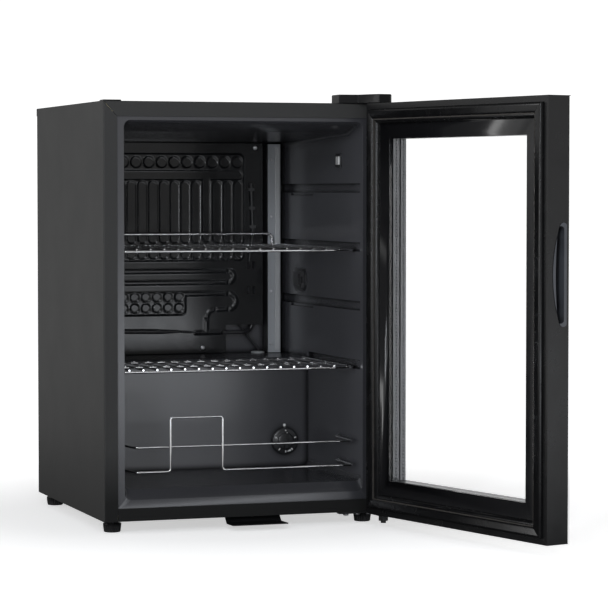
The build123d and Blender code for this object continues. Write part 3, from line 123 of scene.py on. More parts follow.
def mesh_from(bm, name):
    bmesh.ops.recalc_face_normals(bm, faces=bm.faces)
    mesh = bpy.data.meshes.new(name)
    bm.to_mesh(mesh)
    bm.free()
    return mesh


def to_open_door(mesh):
    """Turns a mesh made on the closed door to the door's open place."""
    turn = Matrix.Rotation(DOOR_OPEN, 4, "Z")
    mesh.transform(Matrix.Translation(PIVOT) @ turn @ Matrix.Translation(-PIVOT))
    return mesh


def frame_sweep(profile, weld=0.0, weld_depth=0.0):
    """Sweeps a closed (s, w) outline round the door: s in from the edge, w down from the inner face."""
    bm = bmesh.new()
    x0, x1, z0, z1 = -HALF, HALF, GLASS_LOW.z, GLASS_HIGH.z
    corners = [(x0, z0, 1, 1), (x1, z0, -1, 1), (x1, z1, -1, -1), (x0, z1, 1, -1)]
    runs = [(1, 0), (0, 1), (-1, 0), (0, -1)]
    rings = []
    for k, (cx, cz, sx, sz) in enumerate(corners):
        before, after = runs[k - 1], runs[k]
        stations = [(0.0, 0.0, weld_depth)]
        if weld:
            stations = [(-before[0] * weld, -before[1] * weld, 0.0), (0.0, 0.0, weld_depth),
                        (after[0] * weld, after[1] * weld, 0.0)]
        for dx, dz, sink in stations:
            rings.append([bm.verts.new((cx + sx * s + dx, DOOR_IN - w - (sink if w < SEAT_DEPTH else 0.0),
                                        cz + sz * s + dz)) for s, w in profile])
    count = len(profile)
    for a, b in zip(rings, rings[1:] + rings[:1]):
        for i in range(count):
            j = (i + 1) % count
            bm.faces.new((a[i], a[j], b[j], b[i]))
    return bm


def rounded(points, steps=5):
    """Closed smooth outline through the points (Catmull-Rom)."""
    out = []
    n = len(points)
    for i in range(n):
        p0, p1, p2, p3 = (Vector(points[(i + k - 1) % n]) for k in range(4))
        for s in range(steps):
            t = s / steps
            a = 2.0 * p1 + (p2 - p0) * t
            b = (2.0 * p0 - 5.0 * p1 + 4.0 * p2 - p3) * t * t
            c = (3.0 * p1 - p0 - 3.0 * p2 + p3) * t ** 3
            out.append(tuple(0.5 * (a + b + c)))
    return out


def lathe(profile, centre, axis, sides, ripple=0.0, ripple_count=0):
    """Turns (radius, height) points round an axis; the ripple makes knurls on it."""
    bm = bmesh.new()
    frame_z = Vector(axis).normalized()
    frame_x = frame_z.orthogonal().normalized()
    if abs(frame_z.z) > 0.5:
        frame_x = Vector((1.0, 0.0, 0.0))
    frame_y = frame_z.cross(frame_x)
    rings = []
    for radius, height, rib in profile:
        ring = []
        for k in range(sides):
            a = 2.0 * math.pi * k / sides
            r = radius - rib * ripple * (0.5 - 0.5 * math.cos(a * ripple_count))
            ring.append(bm.verts.new(centre + frame_z * height
                                     + (frame_x * math.cos(a) + frame_y * math.sin(a)) * r))
        rings.append(ring)
    for a, b in zip(rings, rings[1:]):
        for k in range(sides):
            bm.faces.new((a[k], a[(k + 1) % sides], b[(k + 1) % sides], b[k]))
    bm.faces.new(rings[0])
    bm.faces.new(list(reversed(rings[-1])))
    return bm


# ================================================================== materials
class Finish:
    """A Principled material whose colour, roughness and bump are driven by procedural nodes."""

    def __init__(self, name, color, rough, metallic=0.0, coat=0.0, specular=0.5):
        self.material = bpy.data.materials.new(name)
        self.material.use_nodes = True
        self.tree = self.material.node_tree
        self.bsdf = self.tree.nodes["Principled BSDF"]
        self.color = color
        self.rough = rough
        self.bsdf.inputs["Base Color"].default_value = (*color, 1.0)
        self.bsdf.inputs["Roughness"].default_value = rough
        self.bsdf.inputs["Metallic"].default_value = metallic
        self.bsdf.inputs["Coat Weight"].default_value = coat
        self.bsdf.inputs["Coat Roughness"].default_value = 0.12
        self.bsdf.inputs["Specular IOR Level"].default_value = specular
        self.normal = None
        self.material.diffuse_color = (*color, 1.0)

    def node(self, kind, **inputs):
        made = self.tree.nodes.new(kind)
        for key, value in inputs.items():
            made.inputs[key.replace("_", " ")].default_value = value
        return made

    def link(self, a, b):
        self.tree.links.new(a, b)

    def place(self, stretch=(1.0, 1.0, 1.0)):
        """Object coordinates in metres, stretched along chosen axes."""
        coord = self.node("ShaderNodeTexCoord")
        mapping = self.node("ShaderNodeMapping", Scale=stretch)
        self.link(coord.outputs["Object"], mapping.inputs["Vector"])
        return mapping.outputs["Vector"]

    def noise(self, scale, detail=3.0, stretch=(1.0, 1.0, 1.0)):
        made = self.node("ShaderNodeTexNoise", Scale=scale, Detail=detail)
        self.link(self.place(stretch), made.inputs["Vector"])
        return made.outputs["Fac"]

    def mottle(self, scale, amount, stretch=(1.0, 1.0, 1.0)):
        """Slow drift of the colour between slightly darker and lighter."""
        return self.drift(self.noise(scale, 4.0, stretch), amount, 0.3, 0.7)

    def drift(self, fac, amount, low=0.0, high=1.0):
        """Base colour that goes from darker at the low stop to lighter at the high one."""
        ramp = self.node("ShaderNodeValToRGB")
        dark = [c * (1.0 - amount) for c in self.color]
        light = [min(1.0, c * (1.0 + amount)) for c in self.color]
        for element, position, tone in zip(ramp.color_ramp.elements, (low, high), (dark, light)):
            element.position = position
            element.color = (*tone, 1.0)
        self.link(fac, ramp.inputs["Fac"])
        self.link(ramp.outputs["Color"], self.bsdf.inputs["Base Color"])
        return self

    def vary_roughness(self, scale, amount, stretch=(1.0, 1.0, 1.0)):
        """Drift of the gloss around the finish's own roughness."""
        fac = self.noise(scale, 3.0, stretch)
        low, high = max(0.0, self.rough - amount), min(1.0, self.rough + amount)
        self.link(self.map_range(fac, 0.3, 0.7, low, high), self.bsdf.inputs["Roughness"])
        return self

    def bump(self, height, depth_mm, strength=1.0):
        made = self.node("ShaderNodeBump", Strength=strength, Distance=depth_mm * MM)
        self.link(height, made.inputs["Height"])
        if self.normal is not None:
            self.link(self.normal, made.inputs["Normal"])
        self.normal = made.outputs["Normal"]
        self.link(self.normal, self.bsdf.inputs["Normal"])
        return self

    def grain(self, scale, depth_mm, detail=2.0, stretch=(1.0, 1.0, 1.0)):
        return self.bump(self.noise(scale, detail, stretch), depth_mm)

    def cells(self, scale, depth_mm):
        made = self.node("ShaderNodeTexVoronoi", Scale=scale)
        made.feature = "SMOOTH_F1"
        self.link(self.place(), made.inputs["Vector"])
        return self.bump(made.outputs["Distance"], depth_mm)

    def painted_shade_flank(self, color):
        """Painted shade: black on the faces that look to the left."""
        mix = self.node("ShaderNodeMix")
        mix.data_type = "RGBA"
        self.link(self.math("LESS_THAN", self.geometry("True Normal", "X"), -0.6), mix.inputs["Factor"])
        self.link(self.bsdf.inputs["Base Color"].links[0].from_socket, mix.inputs["A"])
        mix.inputs["B"].default_value = (*color, 1.0)
        self.link(mix.outputs["Result"], self.bsdf.inputs["Base Color"])
        return self

    def scale_color(self, value):
        """Multiply the colour made so far by a value between 0 and 1."""
        mix = self.node("ShaderNodeMix")
        mix.data_type = "RGBA"
        mix.blend_type = "MULTIPLY"
        mix.inputs["Factor"].default_value = 1.0
        self.link(self.bsdf.inputs["Base Color"].links[0].from_socket, mix.inputs["A"])
        self.link(value, mix.inputs["B"])
        self.link(mix.outputs["Result"], self.bsdf.inputs["Base Color"])

    def geometry(self, output, axis):
        """One axis of the surface's place or of the way it faces."""
        source = self.node("ShaderNodeNewGeometry")
        split = self.node("ShaderNodeSeparateXYZ")
        self.link(source.outputs[output], split.inputs["Vector"])
        return split.outputs[axis]

    def map_range(self, value, low, high, to_low, to_high):
        spread = self.node("ShaderNodeMapRange")
        spread.inputs["From Min"].default_value = low
        spread.inputs["From Max"].default_value = high
        spread.inputs["To Min"].default_value = to_low
        spread.inputs["To Max"].default_value = to_high
        self.link(value, spread.inputs["Value"])
        return spread.outputs["Result"]

    def painted_crease_shade(self, reach_mm, floor):
        """Painted shade: darker and duller where the surface folds in on itself."""
        shade = self.node("ShaderNodeAmbientOcclusion", Distance=reach_mm * MM)
        shade.samples = 8
        value = self.map_range(shade.outputs["AO"], 0.45, 0.97, floor, 1.0)
        self.scale_color(value)
        self.scale_gloss(value)
        return self

    def math(self, operation, a, b):
        """Combines a socket with another socket or a number."""
        made = self.node("ShaderNodeMath")
        made.operation = operation
        self.link(a, made.inputs[0])
        if isinstance(b, float):
            made.inputs[1].default_value = b
        else:
            self.link(b, made.inputs[1])
        return made.outputs["Value"]

    def scale_gloss(self, value):
        """Multiply the specular level made so far by a value between 0 and 1."""
        level = self.bsdf.inputs["Specular IOR Level"]
        before = level.links[0].from_socket if level.links else level.default_value
        self.link(self.math("MULTIPLY", value, before), level)

    def painted_liner_shade(self):
        """Painted shade by facing: full tone on the right wall, less on the back, least on the mouth's left
        and lower slopes.
        """
        facing_x = self.geometry("True Normal", "X")
        wall = self.map_range(facing_x, -0.95, -0.55, 1.0, 0.62)
        left = self.map_range(facing_x, 0.08, 0.25, 1.0, 0.40)
        low = self.map_range(self.geometry("True Normal", "Z"), 0.08, 0.25, 1.0, 0.45)
        slopes = self.math("MINIMUM", left, low)
        self.scale_color(self.math("MINIMUM", wall, slopes))
        self.scale_gloss(slopes)
        return self

    def painted_shade_low_front(self, low_mm, high_mm, floor):
        """Painted shade: the front faces darken towards the floor."""
        height = self.map_range(self.geometry("Position", "Z"), low_mm * MM, high_mm * MM, floor, 1.0)
        other = self.map_range(self.geometry("True Normal", "Y"), -0.9, -0.6, 0.0, 1.0)
        self.scale_color(self.math("MAXIMUM", height, other))
        return self

    def spangle(self, scale, amount):
        """Crystal patches of a zinc coat: each cell has its own tone and gloss."""
        made = self.node("ShaderNodeTexVoronoi", Scale=scale)
        self.link(self.place(), made.inputs["Vector"])
        return self.drift(made.outputs["Color"], amount)


def plain_finishes():
    """Paint, plastic, rubber and metal, each with its own tone drift, gloss drift and grain; some also carry
    painted shade.
    """
    made = {}

    def add(name, color, rough, **rest):
        made[name] = Finish(name, color, rough, **rest)
        return made[name]

    # The shell paint carries painted shade: its front faces darken towards the floor.
    add("shell_paint", (0.052, 0.052, 0.0512), 0.50, specular=0.10).mottle(9.0, 0.02) \
        .vary_roughness(14.0, 0.02).grain(1500.0, 0.02).painted_shade_low_front(45.0, 120.0, 0.34)
    # The liner carries painted shade by facing and painted shade in its creases and grooves.
    add("liner_plastic", (0.082, 0.083, 0.093), 0.25, specular=0.75).mottle(5.0, 0.02) \
        .painted_liner_shade().painted_crease_shade(10.0, 0.12)
    add("plate_paint", (0.009, 0.0095, 0.0105), 0.15, specular=0.45).mottle(16.0, 0.08) \
        .vary_roughness(25.0, 0.03)
    add("chrome", (0.86, 0.86, 0.87), 0.10, metallic=1.0).mottle(60.0, 0.05).vary_roughness(180.0, 0.05)
    add("screw_steel", (0.62, 0.62, 0.64), 0.28, metallic=1.0).mottle(220.0, 0.12).grain(3000.0, 0.01)
    # The lamp channel's left-facing flank is painted black as shade.
    add("lamp_plastic", (0.37, 0.385, 0.405), 0.34).mottle(12.0, 0.05, (1, 1, 0.1)) \
        .painted_shade_flank((0.012, 0.012, 0.013))
    add("lamp_diffuser", (0.46, 0.47, 0.48), 0.22).mottle(20.0, 0.04, (1, 1, 0.1)) \
        .bump(ribs(made["lamp_diffuser"], 1.0, "Z"), 0.05)
    add("fitting_plastic", (0.028, 0.028, 0.030), 0.36).mottle(80.0, 0.1).grain(1800.0, 0.02)
    add("rocker_plastic", (0.80, 0.80, 0.79), 0.22).mottle(60.0, 0.03).grain(2000.0, 0.006)
    add("door_frame", (0.010, 0.010, 0.0105), 0.24, specular=0.5).mottle(18.0, 0.1) \
        .vary_roughness(30.0, 0.05).grain(900.0, 0.008)
    add("bead_plastic", (0.010, 0.010, 0.011), 0.18, coat=0.35).mottle(16.0, 0.1).vary_roughness(22.0, 0.05) \
        .grain(500.0, 0.01)
    add("gasket_rubber", (0.006, 0.006, 0.0065), 0.24, specular=0.35).mottle(30.0, 0.1) \
        .vary_roughness(40.0, 0.06).grain(700.0, 0.02)
    add("magnet", (0.05, 0.045, 0.04), 0.7).mottle(90.0, 0.2).grain(1500.0, 0.05)
    # The handle insert carries painted shade where its surface folds in.
    add("handle_plastic", (0.075, 0.080, 0.092), 0.16, coat=0.4).mottle(40.0, 0.06) \
        .vary_roughness(60.0, 0.04).painted_crease_shade(14.0, 0.08)
    add("glass_print", (0.006, 0.006, 0.0065), 0.25).mottle(60.0, 0.1).grain(3000.0, 0.004)
    add("cover_plastic", (0.008, 0.008, 0.0085), 0.30, specular=0.2).mottle(40.0, 0.06).cells(1600.0, 0.025)
    add("foot_plastic", (0.010, 0.010, 0.0105), 0.42).mottle(120.0, 0.12).grain(2000.0, 0.03)
    add("knob_plastic", (0.022, 0.022, 0.024), 0.26, coat=0.2).mottle(70.0, 0.08).grain(1500.0, 0.012)
    add("dial_print", (0.86, 0.86, 0.85), 0.45).mottle(400.0, 0.03)
    # Painted shade: near-black for gaps that lie in shadow.
    add("painted_gap_shade", (0.006, 0.006, 0.006), 0.8).mottle(100.0, 0.2)
    add("black_enamel", (0.018, 0.018, 0.019), 0.22, coat=0.5).mottle(30.0, 0.12).vary_roughness(20.0, 0.06) \
        .grain(260.0, 0.05)
    add("hinge_paint", (0.012, 0.012, 0.0125), 0.34, coat=0.2).mottle(60.0, 0.08).grain(1200.0, 0.02)
    add("copper", (0.70, 0.36, 0.22), 0.30, metallic=1.0).mottle(60.0, 0.25).vary_roughness(120.0, 0.1)
    add("clip_paint", (0.040, 0.041, 0.043), 0.30, coat=0.2).mottle(120.0, 0.1).grain(1500.0, 0.01)
    add("sleeved_tube", (0.026, 0.026, 0.028), 0.34).mottle(90.0, 0.1).grain(900.0, 0.03)
    add("drain_plastic", (0.30, 0.31, 0.31), 0.42).mottle(60.0, 0.06).grain(1500.0, 0.02)
    add("bay_plastic", (0.030, 0.030, 0.031), 0.46).mottle(50.0, 0.1).cells(1300.0, 0.03)
    add("cable_rubber", (0.016, 0.016, 0.017), 0.48).mottle(70.0, 0.1).grain(1400.0, 0.03)
    add("grommet_rubber", (0.022, 0.022, 0.022), 0.72).mottle(90.0, 0.15).grain(1600.0, 0.05)
    add("foam", (0.72, 0.63, 0.38), 0.85).mottle(60.0, 0.12).cells(900.0, 0.2)
    add("bush_plastic", (0.020, 0.020, 0.021), 0.40).mottle(90.0, 0.05).grain(1500.0, 0.02)
    add("control_plastic", (0.70, 0.70, 0.67), 0.42).mottle(80.0, 0.04).grain(1500.0, 0.02)
    add("zinc_sheet", (0.52, 0.53, 0.54), 0.36, metallic=1.0).spangle(160.0, 0.14).vary_roughness(140.0, 0.08)
    add("brushed_aluminium", (0.12, 0.123, 0.128), 0.30, metallic=1.0).mottle(40.0, 0.08, (1, 1, 0.05)) \
        .grain(1200.0, 0.02, 2.0, (1, 1, 0.03))
    return {name: finish.material for name, finish in made.items()}


def ribs(finish, pitch_mm, axis):
    """Fine prismatic lines across an axis, as on a light diffuser."""
    wave = finish.node("ShaderNodeTexWave", Scale=1.0 / (pitch_mm * MM) / (2.0 * math.pi) * 0.32)
    wave.bands_direction = axis
    finish.link(finish.place(), wave.inputs["Vector"])
    return wave.outputs["Fac"]


def glass_finish():
    """Clear glass that lets shadow and diffuse rays straight through."""
    finish = Finish("clear_glass", (1.0, 1.0, 1.0), 0.0)
    finish.bsdf.inputs["Transmission Weight"].default_value = 1.0
    finish.bsdf.inputs["IOR"].default_value = 1.12
    smear = finish.map_range(finish.noise(6.0, 5.0), 0.5, 1.0, 0.0, 0.012)
    finish.link(smear, finish.bsdf.inputs["Roughness"])
    clear = finish.node("ShaderNodeBsdfTransparent")
    path = finish.node("ShaderNodeLightPath")
    either = finish.math("MAXIMUM", path.outputs["Is Shadow Ray"], path.outputs["Is Diffuse Ray"])
    mix = finish.node("ShaderNodeMixShader")
    finish.link(either, mix.inputs["Fac"])
    finish.link(finish.bsdf.outputs["BSDF"], mix.inputs[1])
    finish.link(clear.outputs["BSDF"], mix.inputs[2])
    out = next(n for n in finish.tree.nodes if n.type == "OUTPUT_MATERIAL")
    finish.link(mix.outputs["Shader"], out.inputs["Surface"])
    return finish.material


# ================================================================== CAD nodes that stay
CARRIED = {
    "shell_paint": ["side_panel_left", "side_panel_right", "top_panel", "bottom_front_rail", "back_panel"],
    "liner_plastic": ["inner_liner"],
    "zinc_sheet": ["base_panel", "compressor_rail", "condenser_brackets"],
    "foam": ["foam_insulation"],
    "chrome": ["bottle_guard", "upper_shelf", "lower_shelf"],
    "screw_steel": ["liner_screws", "hinge_screws", "compressor_bolts"],
    "copper": ["discharge_tube", "filter_drier"],
    "sleeved_tube": ["suction_tube", "capillary_tube", "thermostat_bulb"],
    "clip_paint": ["bulb_clips"],
    "lamp_plastic": ["lamp_channel"],
    "lamp_diffuser": ["lamp_cover"],
    "fitting_plastic": ["sensor_housing", "switch_frame"],
    "rocker_plastic": ["light_switch_rocker"],
    "drain_plastic": ["drain_funnel", "drain_hose"],
    "black_enamel": ["compressor", "condenser_tube", "condenser_wires"],
    "grommet_rubber": ["compressor_grommets"],
    "bay_plastic": ["relay_cover", "evaporation_tray", "evaporator_spacers"],
    "cable_rubber": ["power_cord"],
    "hinge_paint": ["top_hinge_bracket", "bottom_hinge_bracket", "hinge_pins"],
    "cover_plastic": ["hinge_cover", "blanking_cap", "underside_scoop"],
    "bush_plastic": ["hinge_bushes"],
    "control_plastic": ["thermostat_body"],
    "door_frame": ["door_handle_stile", "door_hinge_stile", "door_rails"],
    "handle_plastic": ["handle_insert"],
    "magnet": ["magnet_strips"],
    "bead_plastic": ["glazing_beads"],
    "clear_glass": ["inner_panes", "outer_glass"],
}
BEVELS = {
    "inner_liner": 1.0, "door_handle_stile": 0.5, "door_hinge_stile": 0.5, "door_rails": 0.5,
    "glazing_beads": 0.35, "sensor_housing": 0.6, "switch_frame": 0.4, "light_switch_rocker": 0.5,
    "lamp_channel": 0.6, "hinge_cover": 0.5, "top_hinge_bracket": 0.4, "bottom_hinge_bracket": 0.4,
    "underside_scoop": 0.5, "evaporation_tray": 0.5, "thermostat_body": 0.8, "side_panel_left": 0.15,
    "side_panel_right": 0.15, "top_panel": 0.15, "back_panel": 0.2, "base_panel": 0.2,
    "bottom_front_rail": 0.15, "compressor_rail": 0.4, "blanking_cap": 0.2, "handle_insert": 0.5,
}


def soften_edges(obj, width_mm):
    """Joins the split corners, rounds every crisp edge and evens the shading."""
    weld = obj.modifiers.new("join", "WELD")
    weld.merge_threshold = 1e-5
    bevel = obj.modifiers.new("rounding", "BEVEL")
    bevel.width = width_mm * MM
    bevel.segments = 3
    bevel.limit_method = "ANGLE"
    bevel.angle_limit = math.radians(32.0)
    bevel.miter_outer = "MITER_ARC"
    bevel.harden_normals = True
    even = obj.modifiers.new("even_shading", "WEIGHTED_NORMAL")
    even.keep_sharp = True


def dress_cad_nodes(materials):
    for finish, names in CARRIED.items():
        for name in names:
            obj = NODES[name]
            obj.data.materials.clear()
            obj.data.materials.append(materials[finish])
            if name in BEVELS:
                if "custom_normal" in obj.data.attributes:
                    obj.data.attributes.remove(obj.data.attributes["custom_normal"])
                for face in obj.data.polygons:
                    face.use_smooth = True
                soften_edges(obj, BEVELS[name])


# ================================================================== door pieces
def gasket_piece(material):
    """Bellows seal: a magnet pocket on top, a rolled outer lip and a thin inner fin."""
    e, w = GASKET_EDGE / MM, GASKET_W / MM
    outline = [
        (e + 0.5, 3.0), (e + 0.1, 1.2), (e + 0.0, -1.4), (e + 0.2, -3.6), (e + 1.1, -5.6), (e + 2.6, -6.3),
        (e + 4.4, -6.4), (e + 8.2, -6.4), (e + 11.6, -6.3), (e + 13.2, -5.5), (e + 13.9, -4.2),
        (e + 14.2, -3.1), (e + 15.0, -2.7), (e + 16.4, -3.0), (e + 18.2, -2.6), (e + 19.8, -1.2),
        (e + w - 0.2, 0.8), (e + w, 2.2), (e + w - 0.6, 3.0), (e + w - 6.0, 3.0), (e + 6.0, 3.0),
    ]
    profile = [(s * MM, d * MM) for s, d in rounded(outline, 4)]
    mesh = to_open_door(mesh_from(frame_sweep(profile, 0.5 * MM, 0.18 * MM), "door_gasket"))
    piece = new_piece("door_gasket", mesh, "door", material, 40.0)
    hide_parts("gasket")


def glass_print_piece(material):
    """Black printed border that shows through the outer pane's face."""
    top = OUTER_PANE_AT + 0.05 * MM
    low = OUTER_PANE_AT + 0.20 * MM
    edge = 0.8 * MM
    profile = [(edge, top), (PRINT_W, top), (PRINT_W, low), (edge, low)]
    mesh = to_open_door(mesh_from(frame_sweep(profile), "glass_border_print"))
    piece = new_piece("glass_border_print", mesh, "door", material)


def holed_strip(bm, start, run, across, pitch, count, hole_r, depth, sides=12):
    """Row of tiles, each with a round blind hole, from start along run."""
    run_n, across_n = run.normalized(), across.normalized()
    down = run_n.cross(across_n) * depth
    half_a = across.length / 2
    for k in range(count):
        centre = start + run_n * (pitch * (k + 0.5)) + across_n * half_a
        rim, low, border = [], [], []
        for i in range(sides):
            a = 2.0 * math.pi * (i + 0.5) / sides
            c, s = math.cos(a), math.sin(a)
            reach = min(pitch / 2 / max(abs(c), 1e-6), half_a / max(abs(s), 1e-6))
            border.append(bm.verts.new(centre + (run_n * c + across_n * s) * reach))
            rim.append(bm.verts.new(centre + (run_n * c + across_n * s) * hole_r))
            low.append(bm.verts.new(centre + (run_n * c + across_n * s) * hole_r + down))
        corners = {}
        for i in range(sides):
            j = (i + 1) % sides
            bm.faces.new((rim[i], rim[j], low[j], low[i]))
            pi, pj = border[i].co - centre, border[j].co - centre
            ai, aj = abs(pi.dot(run_n)) > pitch / 2 - 1e-7, abs(pj.dot(run_n)) > pitch / 2 - 1e-7
            if ai != aj:
                sx = 1.0 if (pi + pj).dot(run_n) > 0 else -1.0
                sz = 1.0 if (pi + pj).dot(across_n) > 0 else -1.0
                key = (sx, sz)
                corners[key] = bm.verts.new(centre + run_n * (sx * pitch / 2) + across_n * (sz * half_a))
                bm.faces.new((border[i], corners[key], border[j], rim[j], rim[i]))
            else:
                bm.faces.new((border[i], border[j], rim[j], rim[i]))
        bm.faces.new(low)


def spacer_piece(name, top_w, low_w, material):
    """Aluminium box section between two panes, perforated along its inner face."""
    e0, e1 = SPACER_EDGE, SPACER_FACE
    bm = frame_sweep([(e1, top_w), (e0, top_w), (e0, low_w), (e1, low_w)])
    inner = [f for f in bm.faces if all(abs(abs(v.co.x) - (HALF - e1)) < 1e-6 for v in f.verts)
             or all(abs(v.co.z - (GLASS_LOW.z + e1)) < 1e-6 for v in f.verts)
             or all(abs(v.co.z - (GLASS_HIGH.z - e1)) < 1e-6 for v in f.verts)]
    bmesh.ops.delete(bm, geom=inner, context="FACES_ONLY")
    x0, x1 = -HALF + e1, HALF - e1
    z0, z1 = GLASS_LOW.z + e1, GLASS_HIGH.z - e1
    y0, y1 = DOOR_IN - low_w, DOOR_IN - top_w
    across = Vector((0.0, y1 - y0, 0.0))
    rows = [(Vector((x0, y0, z0)), Vector((x1 - x0, 0, 0))), (Vector((x1, y0, z0)), Vector((0, 0, z1 - z0))),
            (Vector((x1, y0, z1)), Vector((x0 - x1, 0, 0))), (Vector((x0, y0, z1)), Vector((0, 0, z0 - z1)))]
    for start, run in rows:
        count = round(run.length / HOLE_PITCH)
        holed_strip(bm, start, run, across, run.length / count, count, HOLE_R, -HOLE_DEPTH)
    bmesh.ops.remove_doubles(bm, verts=bm.verts, dist=2e-6)
    mesh = to_open_door(mesh_from(bm, name))
    piece = new_piece(name, mesh, "door", material)
    return piece


# ================================================================== roll-bond evaporator
def plate_lines(values):
    """Grid lines through the given stops at about the plate's grid step."""
    lines = []
    for a, b in zip(values, values[1:]):
        n = max(1, round((b - a) / PLATE_STEP))
        lines.extend(a + (b - a) * k / n for k in range(n))
    return np.array(lines + [values[-1]])


def sd_box(x, z, cx, cz, w, h, r=0.0):
    dx = np.abs(x - cx) - w / 2 + r
    dz = np.abs(z - cz) - h / 2 + r
    return np.hypot(np.maximum(dx, 0), np.maximum(dz, 0)) + np.minimum(np.maximum(dx, dz), 0) - r


def sd_ring(x, z, cx, cz, radius, width):
    return np.abs(np.hypot(x - cx, z - cz) - radius) - width / 2


def channel_distance(x, z):
    """Negative inside the inflated channels; x and z in millimetres on the plate."""
    pipe = CHANNEL_W
    d = sd_box(x, z, -15.2, 453.5, 262.0, 174.2, 10.0)
    d = np.minimum(d, sd_box(x, z, -65.0, 299.5, 165.8, 39.5, 9.0))
    for centre, radius in ((342.2, 9.2), (302.0, 12.7)):
        turn = np.maximum(sd_ring(x, z, 88.8, centre, radius, pipe), 88.8 - x)
        d = np.minimum(d, turn)
        d = np.minimum(d, sd_box(x, z, -31.6, centre + radius, 241.0, pipe))
    d = np.minimum(d, sd_box(x, z, -31.6, 333.0, 241.0, pipe))
    d = np.minimum(d, sd_box(x, z, 78.0, 289.3, 22.0, pipe))
    bend = np.maximum(sd_ring(x, z, 67.2, 273.3, 16.0, pipe), np.maximum(x - 67.2, 273.3 - z))
    d = np.minimum(d, bend)
    d = np.minimum(d, sd_box(x, z, 51.2, 262.5, pipe, 23.0))
    return np.minimum(d, sd_box(x, z, 54.0, 252.0, 50.0, 8.0, 4.0))


def island_distance(x, z):
    """Negative on the bonded spots inside the channels."""
    d = sd_box(x, z, -13.5, 505.0, 249.0, 11.5, 5.7)
    d = np.minimum(d, sd_box(x, z, 51.6, 452.5, 9.5, 106.0, 4.7))
    for k in range(12):
        d = np.minimum(d, np.hypot(x - 103.5 + k * 21.1, z - 525.8) - 7.2)
    for k in range(14):
        sx = 105.0 - k * 17.8
        d = np.minimum(d, np.hypot(x - sx, z - 378.6) - 5.8)
        if k != 3:
            d = np.minimum(d, sd_box(x, z, sx, 446.2, 11.5, 96.4, 5.7))
    for k in range(9):
        for spot_z in (292.6, 310.0):
            d = np.minimum(d, np.hypot(x - 5.5 + k * 18.4, z - spot_z) - 5.6)
    return d


def plate_height(x, z):
    """Relief of the plate's face, rounded off towards every bonded edge."""
    depth = -np.maximum(channel_distance(x, z), -island_distance(x, z))
    t = np.clip(depth / PLATE_SHOULDER, 0.0, 1.0)
    return PLATE_LIFT * t * t * (3.0 - 2.0 * t)


def evaporator_piece(material):
    """Roll-bond plate as a fine relief, with its notch at the lower right and its four slots."""
    base_z = LEFT_LOW.z / MM
    left, right = PLATE_LOW.x / MM, PLATE_HIGH.x / MM
    low, high = PLATE_LOW.z / MM - base_z, PLATE_HIGH.z / MM - base_z
    back_y = PLATE_HIGH.y
    face_y = back_y - SHEET_T * MM
    slots = [(x - SLOT_W / 2, x + SLOT_W / 2, z - SLOT_H / 2, z + SLOT_H / 2) for x in SLOT_X for z in SLOT_Z]
    xs = plate_lines(sorted([left, NOTCH_X, right] + [x + s * SLOT_W / 2 for x in SLOT_X for s in (-1, 1)]))
    zs = plate_lines(sorted([low, NOTCH_Z, high] + [z + s * SLOT_H / 2 for z in SLOT_Z for s in (-1, 1)]))
    gx, gz = np.meshgrid(xs, zs)
    rise = plate_height(gx, gz)

    def solid(i, j):
        if not (0 <= i < len(xs) - 1 and 0 <= j < len(zs) - 1):
            return False
        x, z = (xs[i] + xs[i + 1]) / 2, (zs[j] + zs[j + 1]) / 2
        if x > NOTCH_X and z < NOTCH_Z:
            return False
        return not any(x0 < x < x1 and z0 < z < z1 for x0, x1, z0, z1 in slots)

    bm = bmesh.new()
    front, back = {}, {}
    for j in range(len(zs) - 1):
        for i in range(len(xs) - 1):
            if not solid(i, j):
                continue
            keys = [(i, j), (i + 1, j), (i + 1, j + 1), (i, j + 1)]
            for k in keys:
                if k not in front:
                    x, z = xs[k[0]] * MM, (zs[k[1]] + base_z) * MM
                    front[k] = bm.verts.new((x, face_y - rise[k[1], k[0]] * MM, z))
                    back[k] = bm.verts.new((x, back_y, z))
            bm.faces.new([front[k] for k in keys])
            bm.faces.new([back[k] for k in reversed(keys)])
            beside = [(i, j - 1), (i + 1, j), (i, j + 1), (i - 1, j)]
            for a, b, other in zip(keys, keys[1:] + keys[:1], beside):
                if not solid(*other):
                    bm.faces.new((front[a], back[a], back[b], front[b]))
    piece = new_piece("evaporator_rollbond", mesh_from(bm, "evaporator_rollbond"), "cabinet", material, 50.0)
    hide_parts("evaporator_plate")


# ================================================================== thermostat dial
def dial_angle_point(centre, radius, angle_deg, y):
    a = math.radians(angle_deg)
    return Vector((centre.x + radius * math.sin(a), y, centre.z + radius * math.cos(a)))


